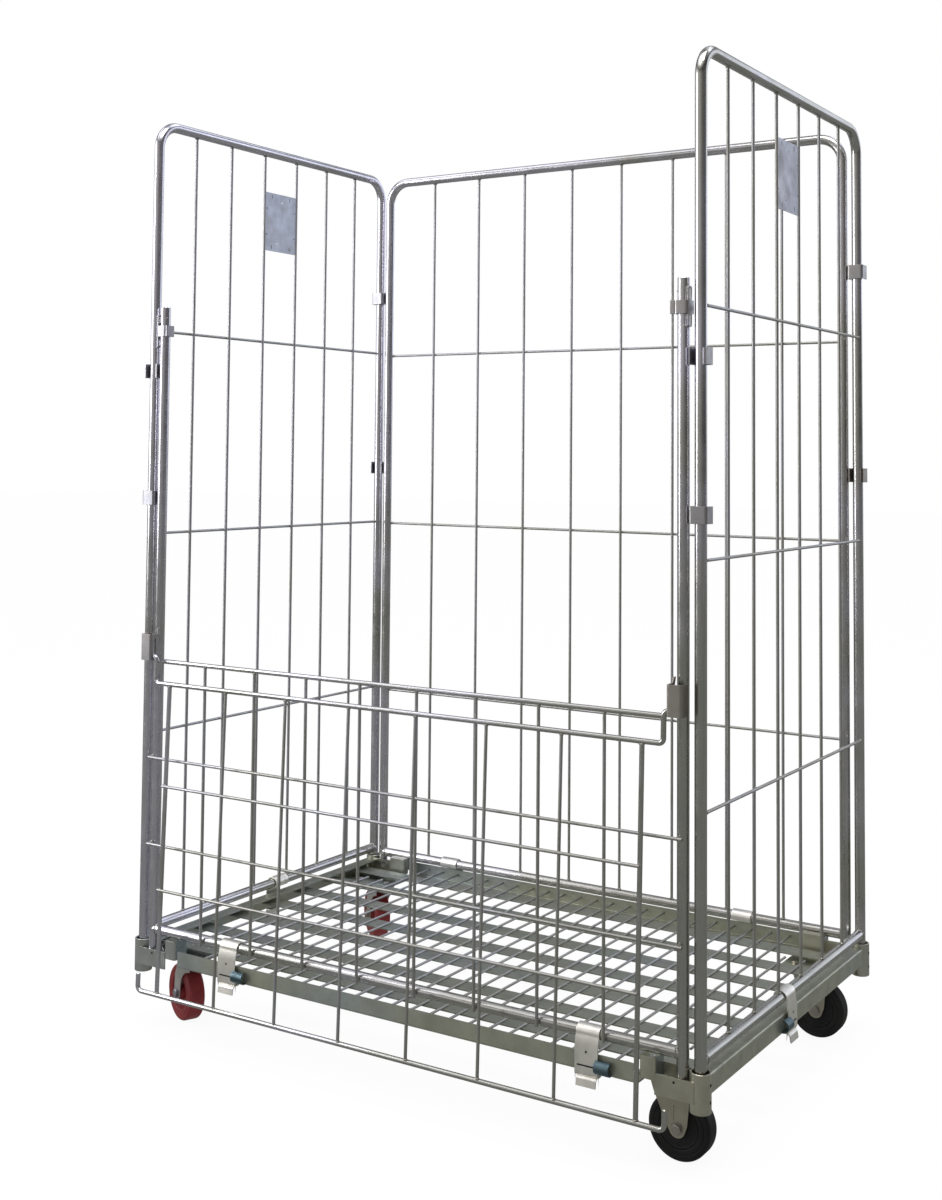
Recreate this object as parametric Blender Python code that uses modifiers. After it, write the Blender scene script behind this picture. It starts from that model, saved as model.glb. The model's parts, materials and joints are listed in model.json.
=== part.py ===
"""Roll cage container with a fold-down front leaf.

Units are metres, +Z is up, the front is -Y and +X is to the right seen from the front.
The floor is z = 0 and the origin lies under the middle of the whole cage.
Each piece is drawn in the frame of the empty that carries it: the cage itself, the leaf's
pivot, a castor's swivel or a wheel's axle. A latch hook's own origin is its tube's axis.
"""
import math

import bmesh
import bpy
from mathutils import Matrix, Vector

# Whole cage
WIDTH = 1.200
DEPTH = 0.800
HEIGHT = 1.800
SHIFT_Y = 0.01523         # brings the middle of the whole depth, leaf included, onto y = 0

# Tubes, rods and wires: radii, and the bevel resolution that sets their number of sides
TUBE_R = 0.010
LOW_TUBE_R = 0.0098       # the low cross tubes, kept clear of the posts' own flats
WIRE_R = 0.003
CROSS_R = 0.0028
ROD_R = 0.0045
TUBE_ROUND = 4
ROD_ROUND = 2
WIRE_ROUND = 1
BEND = 0.050              # centre-line radius of the panels' upper corners
GAP = 0.0003              # clearance between two separate pieces
BITE = 0.0005             # overlap of two welded wires inside one piece
WELD = 0.000001           # merge distance that closes a curve's caps

# Side panels
SIDE_X = WIDTH / 2 - TUBE_R
SIDE_Y = DEPTH / 2 - TUBE_R
SIDE_TOP = HEIGHT - TUBE_R
SIDE_LOW = 0.188
SIDE_FOOT = 0.114
SIDE_WIRES = 6
SIDE_PITCH = 2 * SIDE_Y / (SIDE_WIRES + 1)
SIDE_CROSS = (1.370, 0.963, 0.568)
LABEL_T = 0.0016
LABEL_LOW = 1.5725
LABEL_TOP = 1.7020

# Back panel
BACK_X = 0.5615
BACK_Y = 0.388
BACK_TOP = 1.782
BACK_LOW = 0.182
BACK_FOOT = 0.143
BACK_WIRES = 8
BACK_PITCH = 0.1235
BACK_CROSS = (1.363, 0.9605, 0.564)

# Front gate, the lower half
GATE_X = 0.5615
GATE_Y = -0.393
GATE_TOP = 1.415
GATE_LOW = 0.1945
GATE_FOOT = 0.143
GATE_ROD_Z = 0.716
GATE_ROD_X = 0.538
GATE_WIRES = 8
GATE_PITCH = 0.1225
GATE_CROSS = (0.528, 0.361)
GATE_WIRE_Y = GATE_Y - TUBE_R - GAP - WIRE_R

# Front leaf, the upper half, hanging folded down; drops are measured from its pivot
PIVOT_Y = -0.4215
PIVOT_Z = 0.727
LEAF_LEAN = math.radians(2.0)
LEAF_ROD_DROP = 0.051
LEAF_END_DROP = 0.636
LEAF_HOOK_DROP = 0.604
LEAF_CROSS_DROPS = (0.244, 0.439)
LEAF_ROD_X = 0.541
LEAF_PIN_X = 0.5605
LEAF_HOOK_X = 0.553
LEAF_BAR_X = 0.504
LEAF_BAR_R = 0.0042
LEAF_WIRES = 6
LEAF_WIRE_Y = -0.0022      # the wires' plane, measured from the pivot
LEAF_PITCH = 0.144

# Pivot brackets and keepers on the gate's posts
SHEET = 0.0026            # thickness of the pressed brackets
PIVOT_FRONT_Y = -0.430
PIVOT_LOW = 0.719
PIVOT_TOP = 0.770
PIVOT_HALF = 0.0117
KEEPER_LOW = 1.356
KEEPER_TOP = 1.378
WING_LOW = 1.335
WING_TOP = 1.401

# Hinge clips: lower edges, height and half width
CLIP_HEIGHT = 0.028
CLIP_HALF = 0.0147
CLIP_SHEET = 0.0024
CLIP_WALL = 0.0135
CLIP_LIP = 0.011
FRONT_CLIPS = (1.274, 1.021)
BACK_CLIPS = (1.489, 1.079)

# Base
RAIL_LOW = 0.134
RAIL_TOP = 0.165
RAIL_T = 0.003
RAIL_LEG = 0.030
RAIL_FOOT = 0.036         # depth of the front and back rails' lower leg
RAIL_FACE_Y = 0.405
RAIL_FACE_X = 0.600
RAIL_HALF_X = 0.488
PLATE_LOW = 0.1365
PLATE_TOP = 0.1395
PLATE_IN_X = 0.470
PLATE_IN_Y = 0.278
SOCKET_R = 0.017
SOCKET_BORE_R = 0.014
SOCKET_LOW = 0.110
SOCKET_TOP = 0.172
SOCKET_SIDES = 24
STRAP_LOW = 0.120
STRAP_TOP = 0.153
STRAP_END_X = 0.5205
STOP_IN_X = 0.4925
WALL_Y = 0.3730           # inner face of the wall behind the next panel's post
SLATS = 7
SLAT_PITCH = 0.108
SLAT_WIDTH = 0.043
SLAT_LOW = 0.1495
SLAT_TOP = 0.1525
DECK_WIRES = 27
DECK_PITCH = 0.040
DECK_WIRE_R = 0.00235
DECK_CORNER_X = 0.460     # wires beyond this stop short of the corner plates
DECK_CORNER_Y = 0.270

# Castors
BOLT_X = 0.036
BOLT_Y = 0.032
BOLT_R = 0.004
BOLT_HEAD_R = 0.0065
BOLT_SIDES = 12
WHEEL_R = 0.054
WHEEL_T = 0.034
HUB_R = 0.034
HUB_HALF = 0.0186
AXLE_R = 0.005
AXLE_BORE_R = 0.00508
AXLE_NUT_R = 0.0085
WHEEL_SIDES = 24
SWIVEL_X = 0.520            # the swivel castors, on the left
FIXED_X = 0.529
CASTOR_Y = 0.322
TRAIL = 0.030
CASTOR_TOP = 0.1362
CASTOR_PLATE_T = 0.0032
CHEEK_IN = 0.0190
CHEEK_OUT = 0.0218
CHEEK_LOW = WHEEL_R - 0.015
CROWN_LOW = 0.1212
CROWN_TOP = 0.1242
CROWN_R = 0.031
CROWN_SIDES = 20
YAW_FRONT = math.radians(66.0)
YAW_BACK = math.radians(52.6)

# Latch hooks
LATCH_SHEET = 0.0025
LATCH_ENDS = (-0.016, 0.026)
LATCH_LIP = (-0.012, 0.024)
LATCH_CURL = (0.022, 0.046)
LATCH_DROP_GAP = 0.0035

CORNERS = {
    "front_left": (-1, -1),
    "front_right": (1, -1),
    "back_left": (-1, 1),
    "back_right": (1, 1),
}

# Finishes: base colour, metallic, roughness
FINISHES = {
    "bright zinc tube": ((0.60, 0.61, 0.60), 1.0, 0.28),
    "bright zinc wire": ((0.55, 0.56, 0.54), 1.0, 0.34),
    "matt zinc base": ((0.45, 0.48, 0.46), 1.0, 0.50),
    "blue-grey zinc sheet": ((0.50, 0.55, 0.62), 1.0, 0.48),
    "zinc pressing": ((0.56, 0.56, 0.52), 1.0, 0.40),
    "black rubber": ((0.020, 0.018, 0.020), 0.0, 0.55),
    "dark red polyurethane": ((0.24, 0.021, 0.024), 0.0, 0.40),
}

# Turns a drawing's own axis, +Z, onto the named axis
DRAWN_ALONG = {
    "X": Matrix(((0, 0, 1), (1, 0, 0), (0, 1, 0))).to_4x4(),
    "Y": Matrix(((1, 0, 0), (0, 0, -1), (0, 1, 0))).to_4x4(),
    "Z": Matrix.Identity(4),
}
AXIS = {"X": Vector((1, 0, 0)), "Y": Vector((0, 1, 0)), "Z": Vector((0, 0, 1))}


# ---------------------------------------------------------------- scene tools

def clear_scene():
    for old in list(bpy.data.objects):
        bpy.data.objects.remove(old, do_unlink=True)


def collection(name):
    found = bpy.data.collections.get(name)
    if found is None:
        found = bpy.data.collections.new(name)
        bpy.context.scene.collection.children.link(found)
    return found


def finish(name):
    """The named finish as a Principled material, made once."""
    found = bpy.data.materials.get(name)
    if found is None:
        colour, metallic, roughness = FINISHES[name]
        found = bpy.data.materials.new(name)
        found.use_nodes = True
        shader = found.node_tree.nodes["Principled BSDF"]
        shader.inputs["Base Color"].default_value = (*colour, 1)
        shader.inputs["Metallic"].default_value = metallic
        shader.inputs["Roughness"].default_value = roughness
    return found


def empty(name, parent=None, location=(0, 0, 0), turn=(0, 0, 0)):
    """An empty that carries pieces: the cage, a pivot, a swivel or an axle."""
    made = bpy.data.objects.new(name, None)
    made.empty_display_size = 0.05
    collection("roll cage container").objects.link(made)
    return attach(made, parent, location, turn)


def attach(piece, parent, location=(0, 0, 0), turn=(0, 0, 0)):
    piece.parent = parent
    piece.location = location
    piece.rotation_euler = turn
    return piece


def painted(piece, name):
    """Give a piece its finish, and its tools too, because a Boolean keeps their faces."""
    for each in [piece] + [step.object for step in piece.modifiers if step.type == "BOOLEAN"]:
        each.data.materials.clear()
        each.data.materials.append(finish(name))
    piece.data.shade_smooth()
    piece.data.set_sharp_from_angle(angle=math.radians(35))
    return piece


# ---------------------------------------------------------------- shapes

def mesh_object(name, shape):
    """A linked object from a bmesh, closed and with its faces out."""
    bmesh.ops.remove_doubles(shape, verts=shape.verts, dist=WELD)
    bmesh.ops.recalc_face_normals(shape, faces=shape.faces)
    mesh = bpy.data.meshes.new(name)
    shape.to_mesh(mesh)
    shape.free()
    made = bpy.data.objects.new(name, mesh)
    collection("roll cage container").objects.link(made)
    return made


def curve_object(name, curve, matrix):
    """A curve as a closed mesh object, so that it can be cut and joined."""
    source = bpy.data.objects.new(name, curve)
    bpy.context.scene.collection.objects.link(source)
    graph = bpy.context.evaluated_depsgraph_get()
    mesh = bpy.data.meshes.new_from_object(source.evaluated_get(graph))
    bpy.data.objects.remove(source, do_unlink=True)
    shape = bmesh.new()
    shape.from_mesh(mesh)
    shape.transform(matrix)
    return mesh_object(name, shape)


def add_spline(curve, points, closed):
    spline = curve.splines.new("POLY")
    spline.points.add(len(points) - 1)
    for slot, point in zip(spline.points, points):
        slot.co = (*point, 1)
    spline.use_cyclic_u = closed


def bars(name, paths, radius, roundness):
    """Round tubes, rods or wires along the given paths, as one piece."""
    curve = bpy.data.curves.new(name, "CURVE")
    curve.dimensions = "3D"
    curve.bevel_depth = radius
    curve.bevel_resolution = roundness
    curve.use_fill_caps = True
    for path in paths:
        add_spline(curve, path, False)
    return curve_object(name, curve, Matrix.Identity(4))


def sheet(name, outlines, axis, low, high):
    """Flat outlines, holes included, filled from low to high along an axis.

    An outline's points are (y, z) for axis X, (x, z) for axis Y and (x, y) for axis Z.
    """
    curve = bpy.data.curves.new(name, "CURVE")
    curve.dimensions = "2D"
    curve.fill_mode = "BOTH"
    curve.extrude = (high - low) / 2
    for outline in outlines:
        add_spline(curve, [(u, v, 0) for u, v in outline], True)
    middle = Matrix.Translation(AXIS[axis] * (low + high) / 2)
    return curve_object(name, curve, middle @ DRAWN_ALONG[axis])


def box(name, corner, opposite):
    """A block between two opposite corners, given in any order."""
    corner = Vector(corner)
    opposite = Vector(opposite)
    size = [abs(b - a) for a, b in zip(corner, opposite)]
    middle = Matrix.Translation((corner + opposite) / 2)
    shape = bmesh.new()
    bmesh.ops.create_cube(shape, size=1, matrix=middle @ Matrix.Diagonal((*size, 1)))
    return mesh_object(name, shape)


def cylinders(name, centres, axis, radius, low, high, sides):
    """Round or many-sided bars along one axis, as one piece."""
    shape = bmesh.new()
    for centre in centres:
        middle = Matrix.Translation(Vector(centre) + AXIS[axis] * (low + high) / 2)
        bmesh.ops.create_cone(
            shape, cap_ends=True, segments=sides, radius1=radius, radius2=radius,
            depth=high - low, matrix=middle @ DRAWN_ALONG[axis])
    return mesh_object(name, shape)


def turned(name, profile, steps):
    """A closed (radius, along) profile turned around the Z axis by a Screw modifier.

    The profile runs down its outer side, so that the faces point out.
    """
    mesh = bpy.data.meshes.new(name)
    points = [(radius, 0, along) for radius, along in profile]
    edges = [(i, (i + 1) % len(points)) for i in range(len(points))]
    mesh.from_pydata(points, edges, [])
    made = bpy.data.objects.new(name, mesh)
    collection("roll cage container").objects.link(made)
    screw = made.modifiers.new("turn", "SCREW")
    screw.axis = "Z"
    screw.steps = steps
    screw.render_steps = steps
    screw.use_merge_vertices = True
    screw.merge_threshold = WELD
    return made


def joined(target, tools, operation):
    """Live Boolean steps; each tool is parented to the piece, so that it moves with it."""
    for tool in tools:
        for owner in list(tool.users_collection):
            owner.objects.unlink(tool)
        collection("cutters").objects.link(tool)
        tool.hide_render = True
        tool.display_type = "WIRE"
        tool.parent = target
        step = target.modifiers.new(operation.lower() + " " + tool.name, "BOOLEAN")
        step.operation = operation
        step.solver = "EXACT"
        step.object = tool
    return target


def union(target, *tools):
    return joined(target, tools, "UNION")


def cut(target, *tools):
    return joined(target, tools, "DIFFERENCE")


# ---------------------------------------------------------------- outlines

def rectangle(u0, v0, u1, v1):
    return [(u0, v0), (u1, v0), (u1, v1), (u0, v1)]


def circle(u, v, radius, sides):
    turns = [2 * math.pi * (k + 0.5) / sides for k in range(sides)]
    return [(u + radius * math.cos(t), v + radius * math.sin(t)) for t in turns]


def arc(u, v, radius, start, sweep, steps):
    """Points along an arc, angles in degrees."""
    turns = [math.radians(start + sweep * k / steps) for k in range(steps + 1)]
    return [(u + radius * math.cos(t), v + radius * math.sin(t)) for t in turns]


def bent_sheet(path, thickness):
    """The outline of bent sheet metal, from the path of its middle."""
    path = [Vector(p) for p in path]
    left = []
    right = []
    for i, point in enumerate(path):
        ahead = path[min(i + 1, len(path) - 1)] - point
        behind = point - path[max(i - 1, 0)]
        if ahead.length == 0:
            ahead = behind
        if behind.length == 0:
            behind = ahead
        along = ahead.normalized()
        middle = (along + behind.normalized()).normalized()
        normal = Vector((-middle.y, middle.x))
        reach = thickness / 2 / max(middle.dot(along), 0.5)
        left.append(tuple(point + normal * reach))
        right.append(tuple(point - normal * reach))
    return left + right[::-1]


def bent_path(corners, bend, steps):
    """A path whose inner corners become arcs of the given radius."""
    points = [Vector(corners[0])]
    for i in range(1, len(corners) - 1):
        here = Vector(corners[i])
        before = (Vector(corners[i - 1]) - here).normalized()
        after = (Vector(corners[i + 1]) - here).normalized()
        half = before.angle(after) / 2
        centre = here + (before + after).normalized() * bend / math.sin(half)
        reach = bend / math.tan(half)
        spoke_a = here + before * reach - centre
        spoke_b = here + after * reach - centre
        sweep = math.pi - 2 * half
        for k in range(steps + 1):
            t = k / steps
            a = math.sin((1 - t) * sweep) / math.sin(sweep)
            b = math.sin(t * sweep) / math.sin(sweep)
            points.append(centre + spoke_a * a + spoke_b * b)
    points.append(Vector(corners[-1]))
    return points


def spread(count, pitch):
    """Evenly spaced positions centred on zero."""
    return [(i - (count - 1) / 2) * pitch for i in range(count)]


# ---------------------------------------------------------------- base

def bolt_centres(x, y, half_x, half_y):
    return [(x + i * half_x, y + j * half_y, 0) for i, j in CORNERS.values()]


def base_frame(cage):
    """Angle rails on all four sides, tied by the drilled corner plates."""
    face = RAIL_FACE_Y
    inside = face - RAIL_T
    foot = face - RAIL_FOOT
    floor = RAIL_LOW + RAIL_T
    lengthwise = [(face, RAIL_LOW), (foot, RAIL_LOW), (foot, floor), (inside, floor),
                  (inside, RAIL_TOP), (face, RAIL_TOP)]
    leg = RAIL_FACE_X - RAIL_LEG
    inner = RAIL_FACE_X - RAIL_T
    ceiling = RAIL_TOP - RAIL_T
    crosswise = [(leg, ceiling), (inner, ceiling), (inner, RAIL_LOW), (RAIL_FACE_X, RAIL_LOW),
                 (RAIL_FACE_X, RAIL_TOP), (leg, RAIL_TOP)]
    side_end = SIDE_Y - SOCKET_R - GAP
    rails = []
    for sign in (-1, 1):
        section = [(sign * y, z) for y, z in lengthwise]
        rails.append(sheet("base_frame", [section], "X", -RAIL_HALF_X, RAIL_HALF_X))
    for sign in (-1, 1):
        section = [(sign * x, z) for x, z in crosswise]
        rails.append(sheet("side_rail", [section], "Y", -side_end, side_end))
    base = rails[0]
    plates = []
    holes = []
    for x, y in CORNERS.values():
        near = (x * PLATE_IN_X, y * PLATE_IN_Y, PLATE_LOW)
        far = (x * (RAIL_FACE_X - RAIL_T / 2), y * (side_end - GAP), PLATE_TOP)
        plates.append(box("corner_plate", near, far))
        castor_x = SWIVEL_X if x < 0 else FIXED_X
        centres = bolt_centres(x * castor_x, y * CASTOR_Y, BOLT_X, BOLT_Y)
        low = PLATE_LOW - RAIL_T
        high = PLATE_TOP + RAIL_T
        holes.append(cylinders("plate_holes", centres, "Z", BOLT_R + GAP, low, high, BOLT_SIDES))
    union(base, *rails[1:], *plates)
    cut(base, *holes)
    return attach(painted(base, "matt zinc base"), cage)


def deck_grid(cage):
    """Flat slats across with round wires welded on top of them."""
    reach_x = RAIL_FACE_X - RAIL_T - GAP - 0.001
    reach_y = RAIL_FACE_Y - RAIL_T - GAP
    slats = []
    for y in spread(SLATS, SLAT_PITCH):
        slats.append(rectangle(-reach_x, y - SLAT_WIDTH / 2, reach_x, y + SLAT_WIDTH / 2))
    grid = sheet("deck_grid", slats, "Z", SLAT_LOW, SLAT_TOP)
    height = SLAT_TOP + DECK_WIRE_R - BITE
    wires = []
    for x in spread(DECK_WIRES, DECK_PITCH):
        reach = reach_y if abs(x) < DECK_CORNER_X else DECK_CORNER_Y
        wires.append(((x, -reach, height), (x, reach, height)))
    union(grid, bars("deck_wires", wires, DECK_WIRE_R, WIRE_ROUND))
    return attach(painted(grid, "matt zinc base"), cage)


def corner_bracket(cage, corner, sign_x, sign_y):
    """A round socket for the side panel's post, tied by a strap to the stop of the next post."""
    x = sign_x * SIDE_X
    y = sign_y * SIDE_Y
    rings = [circle(x, y, radius, SOCKET_SIDES) for radius in (SOCKET_R, SOCKET_BORE_R)]
    bracket = sheet("bracket_" + corner, rings, "Z", SOCKET_LOW, SOCKET_TOP)
    outer = SIDE_Y + SOCKET_R + 0.0002
    strap = box("strap", (sign_x * (SIDE_X - 0.004), sign_y * outer, STRAP_LOW),
                (sign_x * (STRAP_END_X - 0.0015), sign_y * (outer - 0.003), STRAP_TOP))
    wall = box("wall", (sign_x * (SIDE_X - 0.0098), sign_y * (WALL_Y + 0.0025), PLATE_TOP + SHEET),
               (sign_x * (STRAP_END_X - 0.0015), sign_y * WALL_Y, 0.168))
    near_x = STOP_IN_X + SHEET / 2
    far_x = STRAP_END_X - SHEET / 2
    inner_y = WALL_Y + 0.0012
    outer_y = outer - 0.0014
    stop_path = [(near_x, inner_y), (near_x, outer_y), (far_x, outer_y), (far_x, inner_y)]
    stop_path = [(sign_x * u, sign_y * v) for u, v in stop_path]
    stop_top = 0.182 if sign_y < 0 else 0.170
    stop = sheet("stop", [bent_sheet(stop_path, SHEET)], "Z", 0.147, stop_top)
    union(bracket, strap, wall, stop)
    if sign_y > 0:
        near = (sign_x * 0.480, 0.3565, 0.145)
        far = (sign_x * STRAP_END_X, WALL_Y + 0.002, 0.181)
        union(bracket, box("block", near, far))
    return attach(painted(bracket, "zinc pressing"), cage)


# ---------------------------------------------------------------- castors

def castor_bolts(half_x, half_y):
    """Shanks and heads of the four bolts that hold a castor's top plate to the base."""
    centres = bolt_centres(0, 0, half_x, half_y)
    shanks = cylinders("shanks", centres, "Z", BOLT_R, CASTOR_TOP - 0.001, PLATE_TOP + 0.001, BOLT_SIDES)
    heads = cylinders("heads", centres, "Z", BOLT_HEAD_R, PLATE_TOP + GAP, PLATE_TOP + 0.0045, 6)
    return shanks, heads


def cheeks(name, outline):
    """Two equal side plates of a fork."""
    fork = sheet(name, [outline], "X", CHEEK_IN, CHEEK_OUT)
    return union(fork, sheet("cheek", [outline], "X", -CHEEK_OUT, -CHEEK_IN))


def axle_hole(trail):
    reach = CHEEK_OUT + 0.008
    return cylinders("axle_hole", [(0, trail, WHEEL_R)], "X", AXLE_BORE_R, -reach, reach, WHEEL_SIDES)


def fixed_fork(corner, heading):
    """Rigid castor housing: a bolted top plate and two cheeks that taper on one side."""
    top = CASTOR_TOP - 0.001
    outline = [(-0.020, top), (-0.020, 0.100), (-0.014, CHEEK_LOW + 0.010), (-0.007, CHEEK_LOW),
               (0.007, CHEEK_LOW), (0.014, CHEEK_LOW + 0.010), (0.044, 0.120), (0.044, top)]
    fork = cheeks("fork_" + corner, outline)
    plate = box("plate", (-0.044, -0.048, CASTOR_TOP - CASTOR_PLATE_T), (0.044, 0.048, CASTOR_TOP))
    union(fork, plate, *castor_bolts(BOLT_Y, BOLT_X))
    cut(fork, axle_hole(0.0))
    return attach(painted(fork, "zinc pressing"), heading)


def swivel_fork(corner, heading):
    """Swivelling castor housing: curved arms under a round crown."""
    outline = [(-0.026, CROWN_TOP), (-0.026, 0.1165), (-0.008, 0.1135), (0.006, 0.104), (0.014, 0.088),
               (TRAIL - 0.013, CHEEK_LOW + 0.012), (TRAIL - 0.007, CHEEK_LOW),
               (TRAIL + 0.007, CHEEK_LOW), (TRAIL + 0.013, CHEEK_LOW + 0.012),
               (TRAIL + 0.010, 0.090), (0.029, 0.112), (0.026, CROWN_TOP)]
    fork = cheeks("fork_" + corner, outline)
    union(fork, cylinders("crown", [(0, 0, 0)], "Z", CROWN_R, CROWN_LOW, CROWN_TOP, CROWN_SIDES))
    cut(fork, axle_hole(TRAIL))
    return attach(painted(fork, "zinc pressing"), heading)


def swivel_head(corner, cage, at):
    """Top plate with the fixed half of the ball race."""
    low = CASTOR_TOP - CASTOR_PLATE_T
    head = box("swivel_head_" + corner, (-0.048, -0.044, low), (0.048, 0.044, CASTOR_TOP))
    race = cylinders("race", [(0, 0, 0)], "Z", 0.027, CROWN_TOP + GAP, CASTOR_TOP - 0.002, CROWN_SIDES)
    union(head, race, *castor_bolts(BOLT_X, BOLT_Y))
    return attach(painted(head, "zinc pressing"), cage, at)


def tyre(corner, axle, finish_name):
    half = WHEEL_T / 2
    profile = [(HUB_R + GAP, half), (WHEEL_R - 0.008, half), (WHEEL_R - 0.002, half - 0.005),
               (WHEEL_R, half - 0.012), (WHEEL_R, 0.012 - half), (WHEEL_R - 0.002, 0.005 - half),
               (WHEEL_R - 0.008, -half), (HUB_R + GAP, -half)]
    wheel = painted(turned("tyre_" + corner, profile, WHEEL_SIDES), finish_name)
    return attach(wheel, axle, turn=(0, math.pi / 2, 0))


def hub(corner, axle, finish_name):
    profile = [(AXLE_BORE_R, HUB_HALF), (0.0130, HUB_HALF), (0.0140, 0.010), (HUB_R, 0.012),
               (HUB_R, -0.012), (0.0140, -0.010), (0.0130, -HUB_HALF), (AXLE_BORE_R, -HUB_HALF)]
    wheel = painted(turned("hub_" + corner, profile, WHEEL_SIDES), finish_name)
    return attach(wheel, axle, turn=(0, math.pi / 2, 0))


def axle_bolt(corner, axle):
    """Bolt with a hexagon at each end, through both cheeks and the hub."""
    centre = [(0, 0, 0)]
    end = CHEEK_OUT + 0.0057
    near = CHEEK_OUT + GAP
    bolt = cylinders("axle_" + corner, centre, "X", AXLE_R, 0.0005 - end, end - 0.0005, WHEEL_SIDES)
    nut = cylinders("nut", centre, "X", AXLE_NUT_R, near, end, 6)
    union(bolt, nut, cylinders("bolt_head", centre, "X", AXLE_NUT_R, -end, -near, 6))
    return attach(painted(bolt, "zinc pressing"), axle)


def castor(cage, corner, sign_x, sign_y):
    """One castor: the left ones swivel and trail, the right ones are rigid."""
    at = (FIXED_X, sign_y * CASTOR_Y, 0)
    if sign_x < 0:
        at = (-SWIVEL_X, sign_y * CASTOR_Y, 0)
        yaw = YAW_FRONT if sign_y < 0 else YAW_BACK
        heading = empty("swivel_" + corner, cage, at, (0, 0, yaw))
        axle = empty("axle_line_" + corner, heading, (0, TRAIL, WHEEL_R))
        swivel_fork(corner, heading)
        swivel_head(corner, cage, at)
        finish_name = "dark red polyurethane"
    else:
        heading = empty("mount_" + corner, cage, at, (0, 0, math.pi / 2))
        axle = empty("axle_line_" + corner, heading, (0, 0, WHEEL_R))
        fixed_fork(corner, heading)
        finish_name = "black rubber"
    tyre(corner, axle, finish_name)
    hub(corner, axle, finish_name)
    axle_bolt(corner, axle)


# ---------------------------------------------------------------- panels

def arch(name, corners):
    """An upright tube arch with bent upper corners."""
    return bars(name, [bent_path(corners, BEND, 5)], TUBE_R, TUBE_ROUND)


def side_frame(cage, side, x):
    """Side panel tubes: an arch whose feet stand in the sockets, and a low rail."""
    corners = [(x, -SIDE_Y, SIDE_FOOT), (x, -SIDE_Y, SIDE_TOP),
               (x, SIDE_Y, SIDE_TOP), (x, SIDE_Y, SIDE_FOOT)]
    low = ((x, -SIDE_Y, SIDE_LOW), (x, SIDE_Y, SIDE_LOW))
    frame = union(arch(side + "_frame", corners), bars("low_tube", [low], LOW_TUBE_R, TUBE_ROUND))
    return attach(painted(frame, "bright zinc tube"), cage)


def side_grid(cage, side, x):
    """Upright wires, and cross wires on their outer side."""
    bottom = SIDE_LOW + TUBE_R + GAP
    top = SIDE_TOP - TUBE_R - GAP
    uprights = [((x, y, bottom), (x, y, top)) for y in spread(SIDE_WIRES, SIDE_PITCH)]
    outside = x + math.copysign(WIRE_R + CROSS_R - BITE, x)
    reach = SIDE_Y - TUBE_R - GAP
    across = [((outside, -reach, z), (outside, reach, z)) for z in SIDE_CROSS]
    grid = bars(side + "_grid", uprights, WIRE_R, WIRE_ROUND)
    union(grid, bars("cross_wires", across, CROSS_R, WIRE_ROUND))
    return attach(painted(grid, "bright zinc wire"), cage)


def label_plate(cage, side, x):
    """Plain sheet plate hung between the two middle wires, near the top."""
    half = SIDE_PITCH / 2 - WIRE_R - GAP
    plate = box(side + "_label_plate", (x - LABEL_T / 2, -half, LABEL_LOW),
                (x + LABEL_T / 2, half, LABEL_TOP))
    return attach(painted(plate, "blue-grey zinc sheet"), cage)


def back_frame(cage):
    corners = [(-BACK_X, BACK_Y, BACK_FOOT), (-BACK_X, BACK_Y, BACK_TOP),
               (BACK_X, BACK_Y, BACK_TOP), (BACK_X, BACK_Y, BACK_FOOT)]
    low = ((-BACK_X, BACK_Y, BACK_LOW), (BACK_X, BACK_Y, BACK_LOW))
    frame = union(arch("back_frame", corners), bars("low_tube", [low], LOW_TUBE_R, TUBE_ROUND))
    return attach(painted(frame, "bright zinc tube"), cage)


def back_grid(cage):
    bottom = BACK_LOW + TUBE_R + GAP
    top = BACK_TOP - TUBE_R - GAP
    uprights = [((x, BACK_Y, bottom), (x, BACK_Y, top)) for x in spread(BACK_WIRES, BACK_PITCH)]
    outside = BACK_Y + WIRE_R + CROSS_R - BITE
    reach = BACK_X - TUBE_R - GAP
    across = [((-reach, outside, z), (reach, outside, z)) for z in BACK_CROSS]
    grid = bars("back_grid", uprights, WIRE_R, WIRE_ROUND)
    union(grid, bars("cross_wires", across, CROSS_R, WIRE_ROUND))
    return attach(painted(grid, "bright zinc wire"), cage)


# ---------------------------------------------------------------- front gate

def gate_frame(cage):
    """Two short posts joined by the low tube."""
    posts = [((x, GATE_Y, GATE_FOOT), (x, GATE_Y, GATE_TOP)) for x in (-GATE_X, GATE_X)]
    low = ((-GATE_X, GATE_Y, GATE_LOW), (GATE_X, GATE_Y, GATE_LOW))
    frame = bars("gate_frame", posts, TUBE_R, TUBE_ROUND)
    union(frame, bars("low_tube", [low], LOW_TUBE_R, TUBE_ROUND))
    return attach(painted(frame, "bright zinc tube"), cage)


def gate_top_rod(cage):
    ends = ((-GATE_ROD_X, GATE_WIRE_Y, GATE_ROD_Z), (GATE_ROD_X, GATE_WIRE_Y, GATE_ROD_Z))
    rod = bars("gate_top_rod", [ends], ROD_R, ROD_ROUND)
    return attach(painted(rod, "bright zinc tube"), cage)


def gate_grid(cage):
    """Upright wires with two cross wires outside them, welded to pads on the posts."""
    y = GATE_WIRE_Y
    top = GATE_ROD_Z - ROD_R - GAP
    bottom = GATE_LOW - 0.008
    uprights = [((x, y, bottom), (x, y, top)) for x in spread(GATE_WIRES, GATE_PITCH)]
    outside = y - WIRE_R - CROSS_R + BITE
    reach = GATE_X + 0.006
    across = [((-reach, outside, z), (reach, outside, z)) for z in GATE_CROSS]
    pads = [(x, 0, z) for x in (-GATE_X, GATE_X) for z in GATE_CROSS]
    grid = bars("gate_grid", uprights, WIRE_R, WIRE_ROUND)
    union(grid, bars("cross_wires", across, CROSS_R, WIRE_ROUND),
          cylinders("pads", pads, "Y", 0.005, outside, GATE_Y - TUBE_R - GAP, 8))
    return attach(painted(grid, "bright zinc wire"), cage)


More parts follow.
